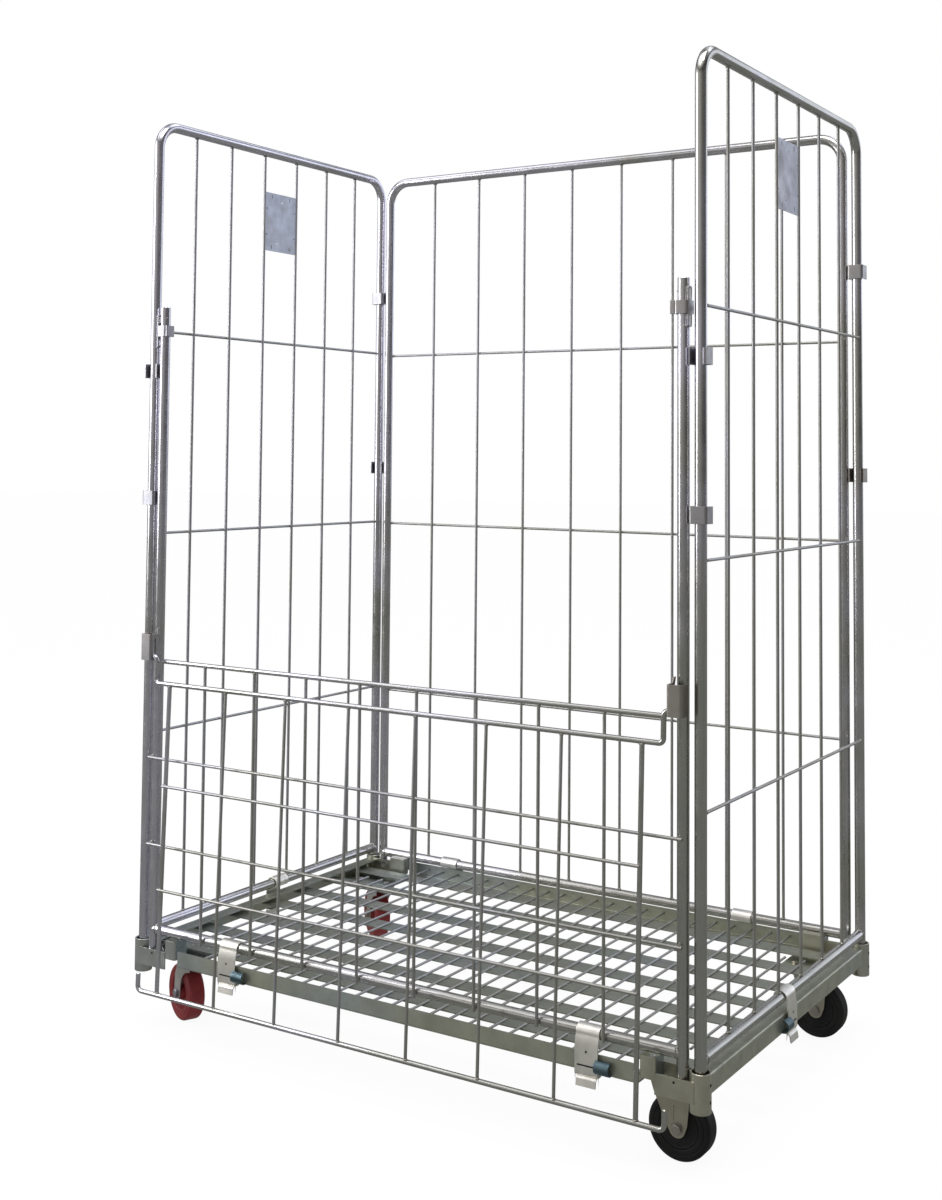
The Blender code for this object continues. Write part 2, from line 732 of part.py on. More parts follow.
def pivot_bracket(cage, side, sign):
    """Sheet housing on the gate's post: front wall, outer wall and a slotted inner wall."""
    x = sign * (GATE_X + 0.0005)
    back = GATE_Y - TUBE_R - GAP
    path = [(x - PIVOT_HALF, back), (x - PIVOT_HALF, PIVOT_FRONT_Y),
            (x + PIVOT_HALF, PIVOT_FRONT_Y), (x + PIVOT_HALF, back)]
    bracket = sheet("pivot_bracket_" + side, [bent_sheet(path, SHEET)], "Z", PIVOT_LOW, PIVOT_TOP)
    inner = x - sign * PIVOT_HALF
    slot = box("slot", (inner - 0.004, PIVOT_Y - 0.005, PIVOT_Z - 0.005),
               (inner + 0.004, PIVOT_Y + 0.005, PIVOT_Z + 0.035))
    stub = ((inner, -0.4075, 0.764), (inner + sign * 0.002, -0.4065, 0.780))
    union(cut(bracket, slot), bars("stub", [stub], 0.0026, ROD_ROUND))
    return attach(painted(bracket, "zinc pressing"), cage)


def keeper(cage, side, sign):
    """Strap around the top of the gate's post that holds the leaf's hook when it is up."""
    x = sign * GATE_X
    reach = TUBE_R + GAP + 0.0014
    open_y = GATE_Y + 0.011
    path = [(x - reach, open_y), (x - reach, GATE_Y - reach),
            (x + reach, GATE_Y - reach), (x + reach, open_y)]
    strap = sheet("keeper_" + side, [bent_sheet(path, SHEET)], "Z", KEEPER_LOW, KEEPER_TOP)
    tab = box("tab", (x - sign * 0.0112, GATE_Y - 0.012, KEEPER_LOW),
              (x - sign * 0.0190, GATE_Y - 0.0095, KEEPER_TOP))
    wing = box("wing", (x + sign * 0.0106, GATE_Y - 0.010, WING_LOW),
               (x + sign * 0.0130, GATE_Y + 0.004, WING_TOP))
    return attach(painted(union(strap, tab, wing), "zinc pressing"), cage)


# ---------------------------------------------------------------- front leaf

def leaf_frame(leaf):
    """Cranked top rod, hooked end rod and the two thick end bars."""
    top = [(-LEAF_PIN_X, 0, 0), (-LEAF_ROD_X, 0, 0), (-LEAF_ROD_X, 0, -LEAF_ROD_DROP),
           (LEAF_ROD_X, 0, -LEAF_ROD_DROP), (LEAF_ROD_X, 0, 0), (LEAF_PIN_X, 0, 0)]
    end = [(-LEAF_HOOK_X, 0, -LEAF_HOOK_DROP), (-LEAF_HOOK_X, 0, -LEAF_END_DROP),
           (LEAF_HOOK_X, 0, -LEAF_END_DROP), (LEAF_HOOK_X, 0, -LEAF_HOOK_DROP)]
    ends = [((x, BITE, -LEAF_END_DROP), (x, BITE, -LEAF_ROD_DROP)) for x in (-LEAF_BAR_X, LEAF_BAR_X)]
    frame = bars("leaf_frame", [bent_path(top, 0.008, 4)], ROD_R, ROD_ROUND)
    union(frame, bars("end_rod", [bent_path(end, 0.010, 4)], ROD_R, ROD_ROUND),
          bars("end_bars", ends, LEAF_BAR_R, ROD_ROUND))
    return attach(painted(frame, "bright zinc tube"), leaf)


def leaf_upright(x, y):
    """Line of one upright wire, from the end rod up to the cranked top rod."""
    top = -LEAF_ROD_DROP - ROD_R - GAP
    bottom = -LEAF_END_DROP + ROD_R + GAP
    return (x, y, bottom), (x, y, top)


def leaf_grid(leaf):
    """The cross wires, outside the uprights, with the inner uprights welded to them."""
    uprights = [leaf_upright(x, LEAF_WIRE_Y) for x in spread(LEAF_WIRES, LEAF_PITCH)
                if abs(x) < LEAF_PITCH]
    outside = LEAF_WIRE_Y - WIRE_R - CROSS_R + BITE
    reach = LEAF_BAR_X + 0.003
    across = [((-reach, outside, -drop), (reach, outside, -drop)) for drop in LEAF_CROSS_DROPS]
    grid = bars("leaf_grid", uprights, WIRE_R, WIRE_ROUND)
    union(grid, bars("cross_wires", across, CROSS_R, WIRE_ROUND))
    return attach(painted(grid, "bright zinc wire"), leaf)


def outer_leaf_wires(leaf):
    """The outer uprights, each a wire of its own, with the gaps that the latch hooks swing through."""
    for number, x in enumerate(spread(LEAF_WIRES, LEAF_PITCH), 1):
        if abs(x) > LEAF_PITCH:
            line = leaf_upright(x, LEAF_WIRE_Y + BITE + GAP)
            wire = bars("leaf_wire_" + str(number), [line], WIRE_R, WIRE_ROUND)
            attach(painted(wire, "bright zinc wire"), leaf)


# ---------------------------------------------------------------- small hardware

def hinge_clip(cage, name, sign_x, sign_y, low, opens_out):
    """U-shaped clip around a side panel's post, with a lug towards the next panel's post."""
    x = sign_x * SIDE_X
    y = sign_y * SIDE_Y
    wall = sign_y * (-CLIP_WALL if opens_out else CLIP_WALL)
    tip = sign_y * (CLIP_WALL if opens_out else -CLIP_LIP)
    path = [(x - CLIP_HALF, y + tip), (x - CLIP_HALF, y + wall),
            (x + CLIP_HALF, y + wall), (x + CLIP_HALF, y + tip)]
    clip = sheet(name, [bent_sheet(path, CLIP_SHEET)], "Z", low, low + CLIP_HEIGHT)
    lug = box("lug", (sign_x * (GATE_X + TUBE_R + GAP), y - 0.004, low + 0.005),
              (x - sign_x * CLIP_HALF, y + 0.004, low + 0.023))
    return attach(painted(union(clip, lug), "zinc pressing"), cage)


def latch_hook(cage, name, face, drop, at, turn, hand=1):
    """Sheet hook that hangs on a low tube and grips the base rail below it.

    It is drawn with the tube along X at the origin and the outside towards -Y; face is
    the distance out to the rail's face and drop the distance down to the rail's edge.
    The curl is on the +X side, or on the other one with hand -1.
    """
    radius = TUBE_R + 0.0005 + LATCH_SHEET / 2
    out = -(face + LATCH_DROP_GAP + LATCH_SHEET / 2)
    low = -(drop + LATCH_DROP_GAP + LATCH_SHEET / 2)
    path = arc(0, 0, radius, -40, 220, 8)
    path += [(-radius - GAP, -0.004), (out, -0.020), (out, low + 0.004), (out + 0.004, low)]
    path += [(-face + 0.0085, low)]
    widths = (LATCH_ENDS, LATCH_LIP, LATCH_CURL)
    ends, lip_ends, curl_ends = [sorted(hand * x for x in pair) for pair in widths]
    hook = sheet(name, [bent_sheet(path, LATCH_SHEET)], "X", *ends)
    lip_path = [(out + 0.003, low - 0.0005), (out - 0.002, low - 0.004), (out - 0.004, low - 0.016)]
    lip = sheet("lip", [bent_sheet(lip_path, 0.0022)], "X", *lip_ends)
    curl_path = arc(-(face + 0.0034), low + 0.018, 0.009, 100, 160, 5)
    curl = sheet("curl", [bent_sheet(curl_path, 0.0022)], "X", *curl_ends)
    return attach(painted(union(hook, lip, curl), "zinc pressing"), cage, at, (0, 0, turn))


def latch_hooks(cage):
    front = RAIL_FACE_Y + GATE_Y
    back = RAIL_FACE_Y - BACK_Y
    side = RAIL_FACE_X - SIDE_X
    for name, x in (("latch_front_left", -0.365), ("latch_front_right", 0.395)):
        latch_hook(cage, name, front, GATE_LOW - RAIL_LOW, (x, GATE_Y, GATE_LOW), 0.0)
    for name, x in (("latch_back_left", -0.365), ("latch_back_right", 0.350)):
        latch_hook(cage, name, back, BACK_LOW - RAIL_LOW, (x, BACK_Y, BACK_LOW), math.pi)
    drop = SIDE_LOW - RAIL_LOW
    latch_hook(cage, "latch_right", side, drop, (SIDE_X, -0.0225, SIDE_LOW), math.pi / 2, -1)
    latch_hook(cage, "latch_left", side, drop, (-SIDE_X, 0.032, SIDE_LOW), -math.pi / 2)


# ---------------------------------------------------------------- whole cage

def build():
    clear_scene()
    cage = empty("cage", None, (0, SHIFT_Y, 0))
    base_frame(cage)
    deck_grid(cage)
    for corner, (sign_x, sign_y) in CORNERS.items():
        corner_bracket(cage, corner, sign_x, sign_y)
        castor(cage, corner, sign_x, sign_y)
    for side, sign in (("left", -1), ("right", 1)):
        side_frame(cage, side, sign * SIDE_X)
        side_grid(cage, side, sign * SIDE_X)
        label_plate(cage, side, sign * SIDE_X)
        pivot_bracket(cage, side, sign)
        keeper(cage, side, sign)
        for level, front, back in zip(("upper", "lower"), FRONT_CLIPS, BACK_CLIPS):
            opens_out = level == "upper"
            hinge_clip(cage, "clip_front_" + side + "_" + level, sign, -1, front, opens_out)
            hinge_clip(cage, "clip_back_" + side + "_" + level, sign, 1, back, opens_out)
    back_frame(cage)
    back_grid(cage)
    gate_frame(cage)
    gate_top_rod(cage)
    gate_grid(cage)
    leaf = empty("leaf_pivot", cage, (0, PIVOT_Y, PIVOT_Z), (-LEAF_LEAN, 0, 0))
    leaf_frame(leaf)
    leaf_grid(leaf)
    outer_leaf_wires(leaf)
    latch_hooks(cage)


build()
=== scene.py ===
"""Roll cage container: the finished look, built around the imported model.

Metres, +Z up, the front is -Y. The panels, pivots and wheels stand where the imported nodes'
boxes and the joints put them. Each piece is drawn in a place of its own (the cage, the leaf,
a castor, a wheel or a latch hook's tube) and stands for the node that it refines.
"""
import json
import math
import random

import bmesh
import bpy
from mathutils import Matrix, Vector, noise

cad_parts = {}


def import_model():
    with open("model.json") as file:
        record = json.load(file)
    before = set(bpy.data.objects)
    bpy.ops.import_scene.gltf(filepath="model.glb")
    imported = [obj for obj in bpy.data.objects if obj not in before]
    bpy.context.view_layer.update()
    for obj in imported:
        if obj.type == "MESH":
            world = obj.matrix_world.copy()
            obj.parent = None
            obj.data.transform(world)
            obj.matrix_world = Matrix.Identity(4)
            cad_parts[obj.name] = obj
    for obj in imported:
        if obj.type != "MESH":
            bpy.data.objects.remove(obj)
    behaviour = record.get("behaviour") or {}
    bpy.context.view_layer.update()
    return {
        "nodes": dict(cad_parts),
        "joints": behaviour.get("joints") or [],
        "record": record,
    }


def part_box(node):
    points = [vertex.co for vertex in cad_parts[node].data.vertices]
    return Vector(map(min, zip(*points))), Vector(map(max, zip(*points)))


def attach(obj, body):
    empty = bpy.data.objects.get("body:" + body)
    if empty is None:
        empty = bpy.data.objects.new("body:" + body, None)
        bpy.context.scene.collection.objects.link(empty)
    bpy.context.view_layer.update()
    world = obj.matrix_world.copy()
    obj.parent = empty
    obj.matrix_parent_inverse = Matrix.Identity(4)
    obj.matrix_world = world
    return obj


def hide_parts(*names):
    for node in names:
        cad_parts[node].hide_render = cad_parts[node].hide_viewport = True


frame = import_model()
JOINTS = {joint["name"]: joint for joint in frame["joints"]}
BODY_OF = {node: body for body, nodes in frame["record"]["behaviour"]["bodies"].items() for node in nodes}
chance = random.Random(11)

# -------------------- places from the frame

SIGNS = {"left": -1, "right": 1}
CORNERS = {"front_left": (-1, -1), "front_right": (1, -1), "back_left": (-1, 1), "back_right": (1, 1)}

low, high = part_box("base_frame")
MID_Y = (low.y + high.y) / 2                      # middle of the cage itself, without the leaf
CAGE = Matrix.Translation((0, MID_Y, 0))

low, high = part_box("right_frame")
TUBE_R = (high.x - low.x) / 2
SIDE_X = high.x - TUBE_R
SIDE_Y = (high.y - low.y) / 2 - TUBE_R
SIDE_TOP = high.z - TUBE_R
SIDE_FOOT = low.z
SIDE_LOW = JOINTS["latch_right_swing"]["pos_m"][2]

low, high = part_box("back_frame")
BACK_X = high.x - TUBE_R
BACK_Y = high.y - TUBE_R - MID_Y
BACK_TOP = high.z - TUBE_R
BACK_FOOT = low.z
BACK_LOW = JOINTS["latch_back_left_swing"]["pos_m"][2]

low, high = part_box("gate_frame")
GATE_X = high.x - TUBE_R
GATE_Y = high.y - TUBE_R - MID_Y
GATE_TOP = high.z
GATE_FOOT = low.z
GATE_LOW = JOINTS["latch_front_left_swing"]["pos_m"][2]

low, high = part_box("gate_top_rod")
ROD_R = (high.z - low.z) / 2
GATE_ROD_X = high.x
GATE_ROD_Y = high.y - ROD_R - MID_Y
GATE_ROD_Z = high.z - ROD_R

LEAF_PIVOT = Vector(JOINTS["leaf_fold"]["pos_m"])
LEAF_LEAN = math.radians(-2.0)
LEAF = Matrix.Translation((0, LEAF_PIVOT.y, LEAF_PIVOT.z)) @ Matrix.Rotation(LEAF_LEAN, 4, "X")

WELDED = 1                                        # the finish number of every piece's welds

# Sizes that the boxes don't give
LOW_TUBE_R = 0.0098
WIRE_R = 0.003
CROSS_R = 0.0028
WIRES_MELTED = 0.0005                             # how far crossed wires are welded into each other
BEAD_SUNK = 0.0006
BEND = 0.050
ROUND_OFF = 0.0004
SIDE_PITCH = 2 * SIDE_Y / 7
SIDE_CROSS = (1.370, 0.963, 0.568)
BACK_PITCH = 0.1235
BACK_CROSS = (1.363, 0.9605, 0.564)
GATE_PITCH = 0.1225
GATE_CROSS = (0.528, 0.361)
LEAF_PITCH = 0.144
LEAF_CROSS_DROPS = (0.244, 0.439)
LEAF_BAR_X = 0.504
RAIL_LOW = 0.134
RAIL_TOP = 0.165
RAIL_T = 0.003
RAIL_Y = 0.405
RAIL_X = 0.600
RAIL_HALF_X = 0.488
RAIL_FLANGE = 0.030
SLATS = 7
SLAT_PITCH = 0.108
SLAT_WIDTH = 0.043
SLAT_LOW = 0.1495
SLAT_TOP = 0.1525
DECK_PITCH = 0.040
DECK_WIRE_R = 0.00235
PLATE_LOW = 0.1365
PLATE_TOP = 0.1395
SOCKET_R = 0.017
SOCKET_BORE_R = 0.014
SOCKET_LOW = 0.110
SOCKET_TOP = 0.172
STRAP_LOW = 0.126
STRAP_TOP = 0.159
STOP_IN = 0.4925
STOP_END = 0.5205
WALL_Y = 0.3730
WALL_TOP = 0.168
KEEPER_LOW = 1.356
KEEPER_TOP = 1.378
WHEEL_R = 0.054
WHEEL_HALF = 0.017
CASTOR_TOP = 0.1362
CHEEK_IN = 0.0190
CHEEK_OUT = 0.0218
TRAIL = 0.030

# -------------------- shapes


def arc(u, v, radius, start, sweep, steps):
    turns = [math.radians(start + sweep * k / steps) for k in range(steps + 1)]
    return [(u + radius * math.cos(t), v + radius * math.sin(t)) for t in turns]


def circle(u, v, radius, sides):
    return arc(u, v, radius, 0, 360 * (1 - 1 / sides), sides - 1)


def rectangle(u0, v0, u1, v1, corner=0.0):
    """A rectangle, its corners rounded if a radius is given."""
    if corner == 0.0:
        return [(u0, v0), (u1, v0), (u1, v1), (u0, v1)]
    centres = ((u1 - corner, v0 + corner), (u1 - corner, v1 - corner),
               (u0 + corner, v1 - corner), (u0 + corner, v0 + corner))
    points = []
    for k, (u, v) in enumerate(centres):
        points += arc(u, v, corner, 90 * (k - 1), 90, 3)
    return points


def bent_path(corners, bend, steps):
    """A path whose inner corners become arcs of the given radius."""
    points = [Vector(corners[0])]
    for i in range(1, len(corners) - 1):
        here = Vector(corners[i])
        before = (Vector(corners[i - 1]) - here).normalized()
        after = (Vector(corners[i + 1]) - here).normalized()
        half = before.angle(after) / 2
        centre = here + (before + after).normalized() * bend / math.sin(half)
        reach = bend / math.tan(half)
        spoke_a = here + before * reach - centre
        spoke_b = here + after * reach - centre
        sweep = math.pi - 2 * half
        for k in range(steps + 1):
            t = k / steps
            a = math.sin((1 - t) * sweep) / math.sin(sweep)
            b = math.sin(t * sweep) / math.sin(sweep)
            points.append(centre + spoke_a * a + spoke_b * b)
    points.append(Vector(corners[-1]))
    return points


def bent_sheet(path, thickness, bend=0.0):
    """The outline of bent sheet metal, from the path of its middle."""
    path = bent_path([Vector((*p, 0)) for p in path], bend, 4) if bend else [Vector(p) for p in path]
    left = []
    right = []
    for i, point in enumerate(path):
        ahead = path[min(i + 1, len(path) - 1)] - point
        behind = point - path[max(i - 1, 0)]
        ahead = ahead if ahead.length else behind
        behind = behind if behind.length else ahead
        along = ahead.normalized()
        mean = (along + behind.normalized()).normalized()
        normal = Vector((-mean.y, mean.x))
        reach = thickness / 2 / max(mean.dot(along), 0.5)
        left.append((point.x + normal.x * reach, point.y + normal.y * reach))
        right.append((point.x - normal.x * reach, point.y - normal.y * reach))
    return left + right[::-1]


def spread(count, pitch):
    """Evenly spaced places about the middle."""
    return [(i - (count - 1) / 2) * pitch for i in range(count)]


ALONG = {
    "X": Matrix(((0, 0, 1), (1, 0, 0), (0, 1, 0))).to_4x4(),
    "Y": Matrix(((1, 0, 0), (0, 0, -1), (0, 1, 0))).to_4x4(),
    "Z": Matrix.Identity(4),
}
AXIS = {"X": Vector((1, 0, 0)), "Y": Vector((0, 1, 0)), "Z": Vector((0, 0, 1))}


def placed(name, data):
    """A new object in the scene."""
    made = bpy.data.objects.new(name, data)
    bpy.context.scene.collection.objects.link(made)
    return made


def finished_mesh(target):
    """The mesh that an object's curve or modifiers make."""
    graph = bpy.context.evaluated_depsgraph_get()
    return bpy.data.meshes.new_from_object(target.evaluated_get(graph))


def modified(target, kind, **settings):
    """Replace an object's mesh by what one modifier makes of it."""
    step = target.modifiers.new(kind, kind)
    for name, value in settings.items():
        setattr(step, name, value)
    mesh = finished_mesh(target)
    target.modifiers.clear()
    target.data = mesh


class Form:
    """The geometry of one piece, drawn in a place and finished as one object."""

    def __init__(self, place=CAGE):
        self.place = place
        self.shape = bmesh.new()
        self.grain = self.shape.loops.layers.uv.new("grain")

    def loft(self, rings, runs, caps, finish):
        """Faces between rings of points; the grain runs along, and around the rings."""
        count = len(rings[0])
        made = [[self.shape.verts.new(p) for p in ring] for ring in rings]
        girth = (Vector(rings[0][1]) - Vector(rings[0][0])).length
        for i in range(len(made) - 1):
            for k in range(count):
                n = (k + 1) % count
                face = self.shape.faces.new((made[i][k], made[i][n], made[i + 1][n], made[i + 1][k]))
                face.material_index = finish
                spots = ((runs[i], k), (runs[i], k + 1), (runs[i + 1], k + 1), (runs[i + 1], k))
                for corner, (run, step) in zip(face.loops, spots):
                    corner[self.grain].uv = (run, step * girth)
        if caps:
            for ring in (made[0][::-1], made[-1]):
                face = self.shape.faces.new(ring)
                face.material_index = finish

    def tube(self, path, radius, sides, finish=0, ease=0.0):
        """A round bar along a path; ease rounds off its two ends by that length."""
        path = [Vector(p) for p in path]
        radii = [radius] * len(path)
        if ease:
            first = (path[1] - path[0]).normalized()
            last = (path[-2] - path[-1]).normalized()
            path = [path[0], path[0] + first * ease] + path[1:-1] + [path[-1] + last * ease, path[-1]]
            radii = [radius - ease] + [radius] * (len(path) - 2) + [radius - ease]
        rings = []
        runs = []
        run = chance.random()
        side = None
        for i, point in enumerate(path):
            along = (path[min(i + 1, len(path) - 1)] - path[max(i - 1, 0)]).normalized()
            side = along.orthogonal() if side is None else side
            side = (side - along * side.dot(along)).normalized()
            up = along.cross(side)
            rings.append([point + side * u + up * v for u, v in circle(0, 0, radii[i], sides)])
            run += (point - path[i - 1]).length if i else 0
            runs.append(run)
        self.loft(rings, runs, True, finish)

    def turned(self, profile, place, steps, finish=0):
        """A (radius, along) profile turned about the Z axis of a place inside the piece."""
        rings = []
        runs = []
        run = 0.0
        for i, (radius, along) in enumerate(profile):
            rings.append([place @ Vector((*point, along)) for point in circle(0, 0, radius, steps)])
            if i:
                run += math.hypot(radius - profile[i - 1][0], along - profile[i - 1][1])
            runs.append(run)
        closed = profile[0] == profile[-1]
        self.loft(rings, runs, not closed, finish)

    def join(self, extra, place, finish):
        """Add loose geometry, in one finish, to the piece."""
        bmesh.ops.remove_doubles(extra, verts=extra.verts, dist=0.000001)
        extra.transform(place)
        for face in extra.faces:
            face.material_index = finish
        mesh = bpy.data.meshes.new("extra")
        extra.to_mesh(mesh)
        extra.free()
        self.shape.from_mesh(mesh)
        bpy.data.meshes.remove(mesh)

    def sheet(self, outlines, axis, low, high, finish=0, rim=ROUND_OFF):
        """Flat outlines, holes included, filled from low to high along an axis, rims rounded."""
        curve = bpy.data.curves.new("outline", "CURVE")
        curve.dimensions = "2D"
        curve.fill_mode = "BOTH"
        curve.extrude = (high - low) / 2 - rim
        curve.bevel_depth = rim
        curve.bevel_resolution = 1
        curve.offset = -rim
        for outline in outlines:
            spline = curve.splines.new("POLY")
            spline.points.add(len(outline) - 1)
            for slot, (u, v) in zip(spline.points, outline):
                slot.co = (u, v, 0, 1)
            spline.use_cyclic_u = True
        holder = placed("outline", curve)
        mesh = finished_mesh(holder)
        bpy.data.objects.remove(holder)
        bpy.data.curves.remove(curve)
        extra = bmesh.new()
        extra.from_mesh(mesh)
        bpy.data.meshes.remove(mesh)
        self.join(extra, Matrix.Translation(AXIS[axis] * (low + high) / 2) @ ALONG[axis], finish)

    def block(self, corner, opposite, finish=0, rim=ROUND_OFF):
        """A box with rounded edges between two opposite corners."""
        corner = Vector(corner)
        opposite = Vector(opposite)
        size = [abs(b - a) for a, b in zip(corner, opposite)]
        extra = bmesh.new()
        where = Matrix.Translation((corner + opposite) / 2) @ Matrix.Diagonal((*size, 1))
        bmesh.ops.create_cube(extra, size=1, matrix=where)
        bmesh.ops.bevel(extra, geom=extra.edges, offset=rim, segments=2, profile=0.5, affect="EDGES")
        self.join(extra, Matrix(), finish)

    def lump(self, centre, size):
        """A small irregular weld bead, in the piece's second finish."""
        extra = bmesh.new()
        bmesh.ops.create_icosphere(extra, subdivisions=2, radius=1)
        seed = chance.random() * 50
        for vert in extra.verts:
            rough = 1 + 0.22 * noise.noise(vert.co * 1.7 + Vector((seed, 0, 0)))
            vert.co = Vector([c * s * rough for c, s in zip(vert.co, size)])
        self.join(extra, Matrix.Translation(centre), WELDED)

    def seam(self, centre, axis, radius, thick):
        """A lumpy weld seam around a tube's end, across the named axis."""
        steps = 28
        seed = chance.random() * 50
        rings = []
        for k in range(steps + 1):
            turn = 2 * math.pi * (k % steps) / steps
            spoke = ALONG[axis] @ Vector((math.cos(turn), math.sin(turn), 0))
            fat = thick * (1 + 0.35 * noise.noise(spoke * 4 + Vector((seed, 0, 0))))
            section = circle(radius, 0, fat, 6)
            rings.append([Vector(centre) + spoke * u + AXIS[axis] * v for u, v in section])
        self.loft(rings, [0.002 * k for k in range(steps + 1)], False, WELDED)

    def hexagon(self, centre, axis, width, low, high, washer=0.0):
        """A bolt head or nut with a chamfered face, on a washer if its thickness is given."""
        place = Matrix.Translation(centre) @ ALONG[axis]
        direction = 1 if high > low else -1
        if washer:
            top = low + washer * direction
            ring = [(0.003, low), (width * 0.72, low), (width * 0.72, top), (0.003, top)]
            self.turned(ring, place, 24)
            low = top
        corner = width / math.sqrt(3)
        heights = ((0.97, low), (1.0, low + 0.0003 * direction), (1.0, high - 0.0009 * direction),
                   (0.84, high))
        rings = []
        for share, height in heights:
            ring = arc(0, 0, corner * share, 15, 300, 5)
            rings.append([place @ Vector((*point, height)) for point in ring])
        self.loft(rings, [0, 0.0003, 0.004, 0.005], True, 0)

    def thing(self, name):
        """The geometry as an object in the scene."""
        self.shape.transform(self.place)
        bmesh.ops.recalc_face_normals(self.shape, faces=self.shape.faces)
        mesh = bpy.data.meshes.new(name)
        self.shape.to_mesh(mesh)
        self.shape.free()
        return placed(name, mesh)

    def piece(self, name, nodes, finishes, cutter=None):
        """The finished object: it replaces its nodes and rides on their body."""
        made = self.thing(name)
        for finish in finishes:
            made.data.materials.append(finish)
        if cutter:
            tool = cutter.thing("cutter")
            modified(made, "BOOLEAN", operation="DIFFERENCE", solver="EXACT", object=tool, use_self=True)
            bpy.data.objects.remove(tool)
        made.data.shade_smooth()
        made.data.set_sharp_from_angle(angle=math.radians(38))
        modified(made, "WEIGHTED_NORMAL", keep_sharp=True)
        for node in nodes:
            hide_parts(node)
        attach(made, BODY_OF[nodes[0]])


# -------------------- materials


class Nodes:
    """The node tree of a material or a world, with short calls to add and join nodes."""

    def __init__(self, owner):
        owner.use_nodes = True
        self.owner = owner
        self.tree = owner.node_tree
        self.shader = self.tree.nodes.get("Principled BSDF")

    def add(self, kind, **inputs):
        node = self.tree.nodes.new("ShaderNode" + kind)
        for name, value in inputs.items():
            self.put(node, name, value)
        return node

    def put(self, node, name, value):
        if isinstance(value, bpy.types.NodeSocket):
            self.tree.links.new(value, node.inputs[name])
        else:
            node.inputs[name].default_value = value

    def place(self):
        return self.add("TexCoord").outputs["Object"]

    def noise(self, vector, scale, detail, roughness=0.55):
        node = self.add("TexNoise", Vector=vector, Scale=scale, Detail=detail, Roughness=roughness)
        return node.outputs["Fac"]

    def stretch(self, vector, scale):
        return self.add("Mapping", Vector=vector, Scale=scale).outputs["Vector"]

    def ramp(self, value, low, high, to_low=0.0, to_high=1.0):
        node = self.add("MapRange", Value=value)
        for name, number in (("From Min", low), ("From Max", high), ("To Min", to_low), ("To Max", to_high)):
            node.inputs[name].default_value = number
        return node.outputs["Result"]

    def bands(self, value, stops):
        """Colours laid along a value, each stop a (place from 0 to 1, colour)."""
        node = self.add("ValToRGB", Fac=value)
        elements = node.color_ramp.elements
        for k, (place, colour) in enumerate(stops):
            stop = elements[k] if k < 2 else elements.new(place)
            stop.position = place
            stop.color = (*colour, 1)
        return node.outputs["Color"]

    def combine(self, a, b, operation="ADD"):
        node = self.tree.nodes.new("ShaderNodeMath")
        node.operation = operation
        for slot, value in enumerate((a, b)):
            self.put(node, slot, value)
        return node.outputs["Value"]

    def mix(self, share, a, b, blend="MIX"):
        """A mix of two colours: sockets 6 and 7 of the node, out at its socket 2."""
        node = self.tree.nodes.new("ShaderNodeMix")
        node.data_type = "RGBA"
        node.blend_type = blend
        colours = [c if isinstance(c, bpy.types.NodeSocket) else (*c, 1) for c in (a, b)]
        for slot, value in zip((0, 6, 7), (share, *colours)):
            self.put(node, slot, value)
        return node.outputs[2]

    def blend(self, share, first, second):
        """A mix of two shaders."""
        node = self.tree.nodes.new("ShaderNodeMixShader")
        for slot, value in enumerate((share, first.outputs[0], second.outputs[0])):
            self.put(node, slot, value)
        return node

    def show(self, seen, reflected):
        """What is seen directly, and what shiny surfaces reflect instead."""
        rays = self.add("LightPath")
        either = self.blend(rays.outputs["Is Glossy Ray"], seen, reflected)
        output = [node for node in self.tree.nodes if node.type.startswith("OUTPUT")][0]
        self.put(output, "Surface", either.outputs[0])

    def bump(self, height, strength, distance):
        node = self.add("Bump", Height=height, Strength=strength, Distance=distance)
        self.put(self.shader, "Normal", node.outputs["Normal"])


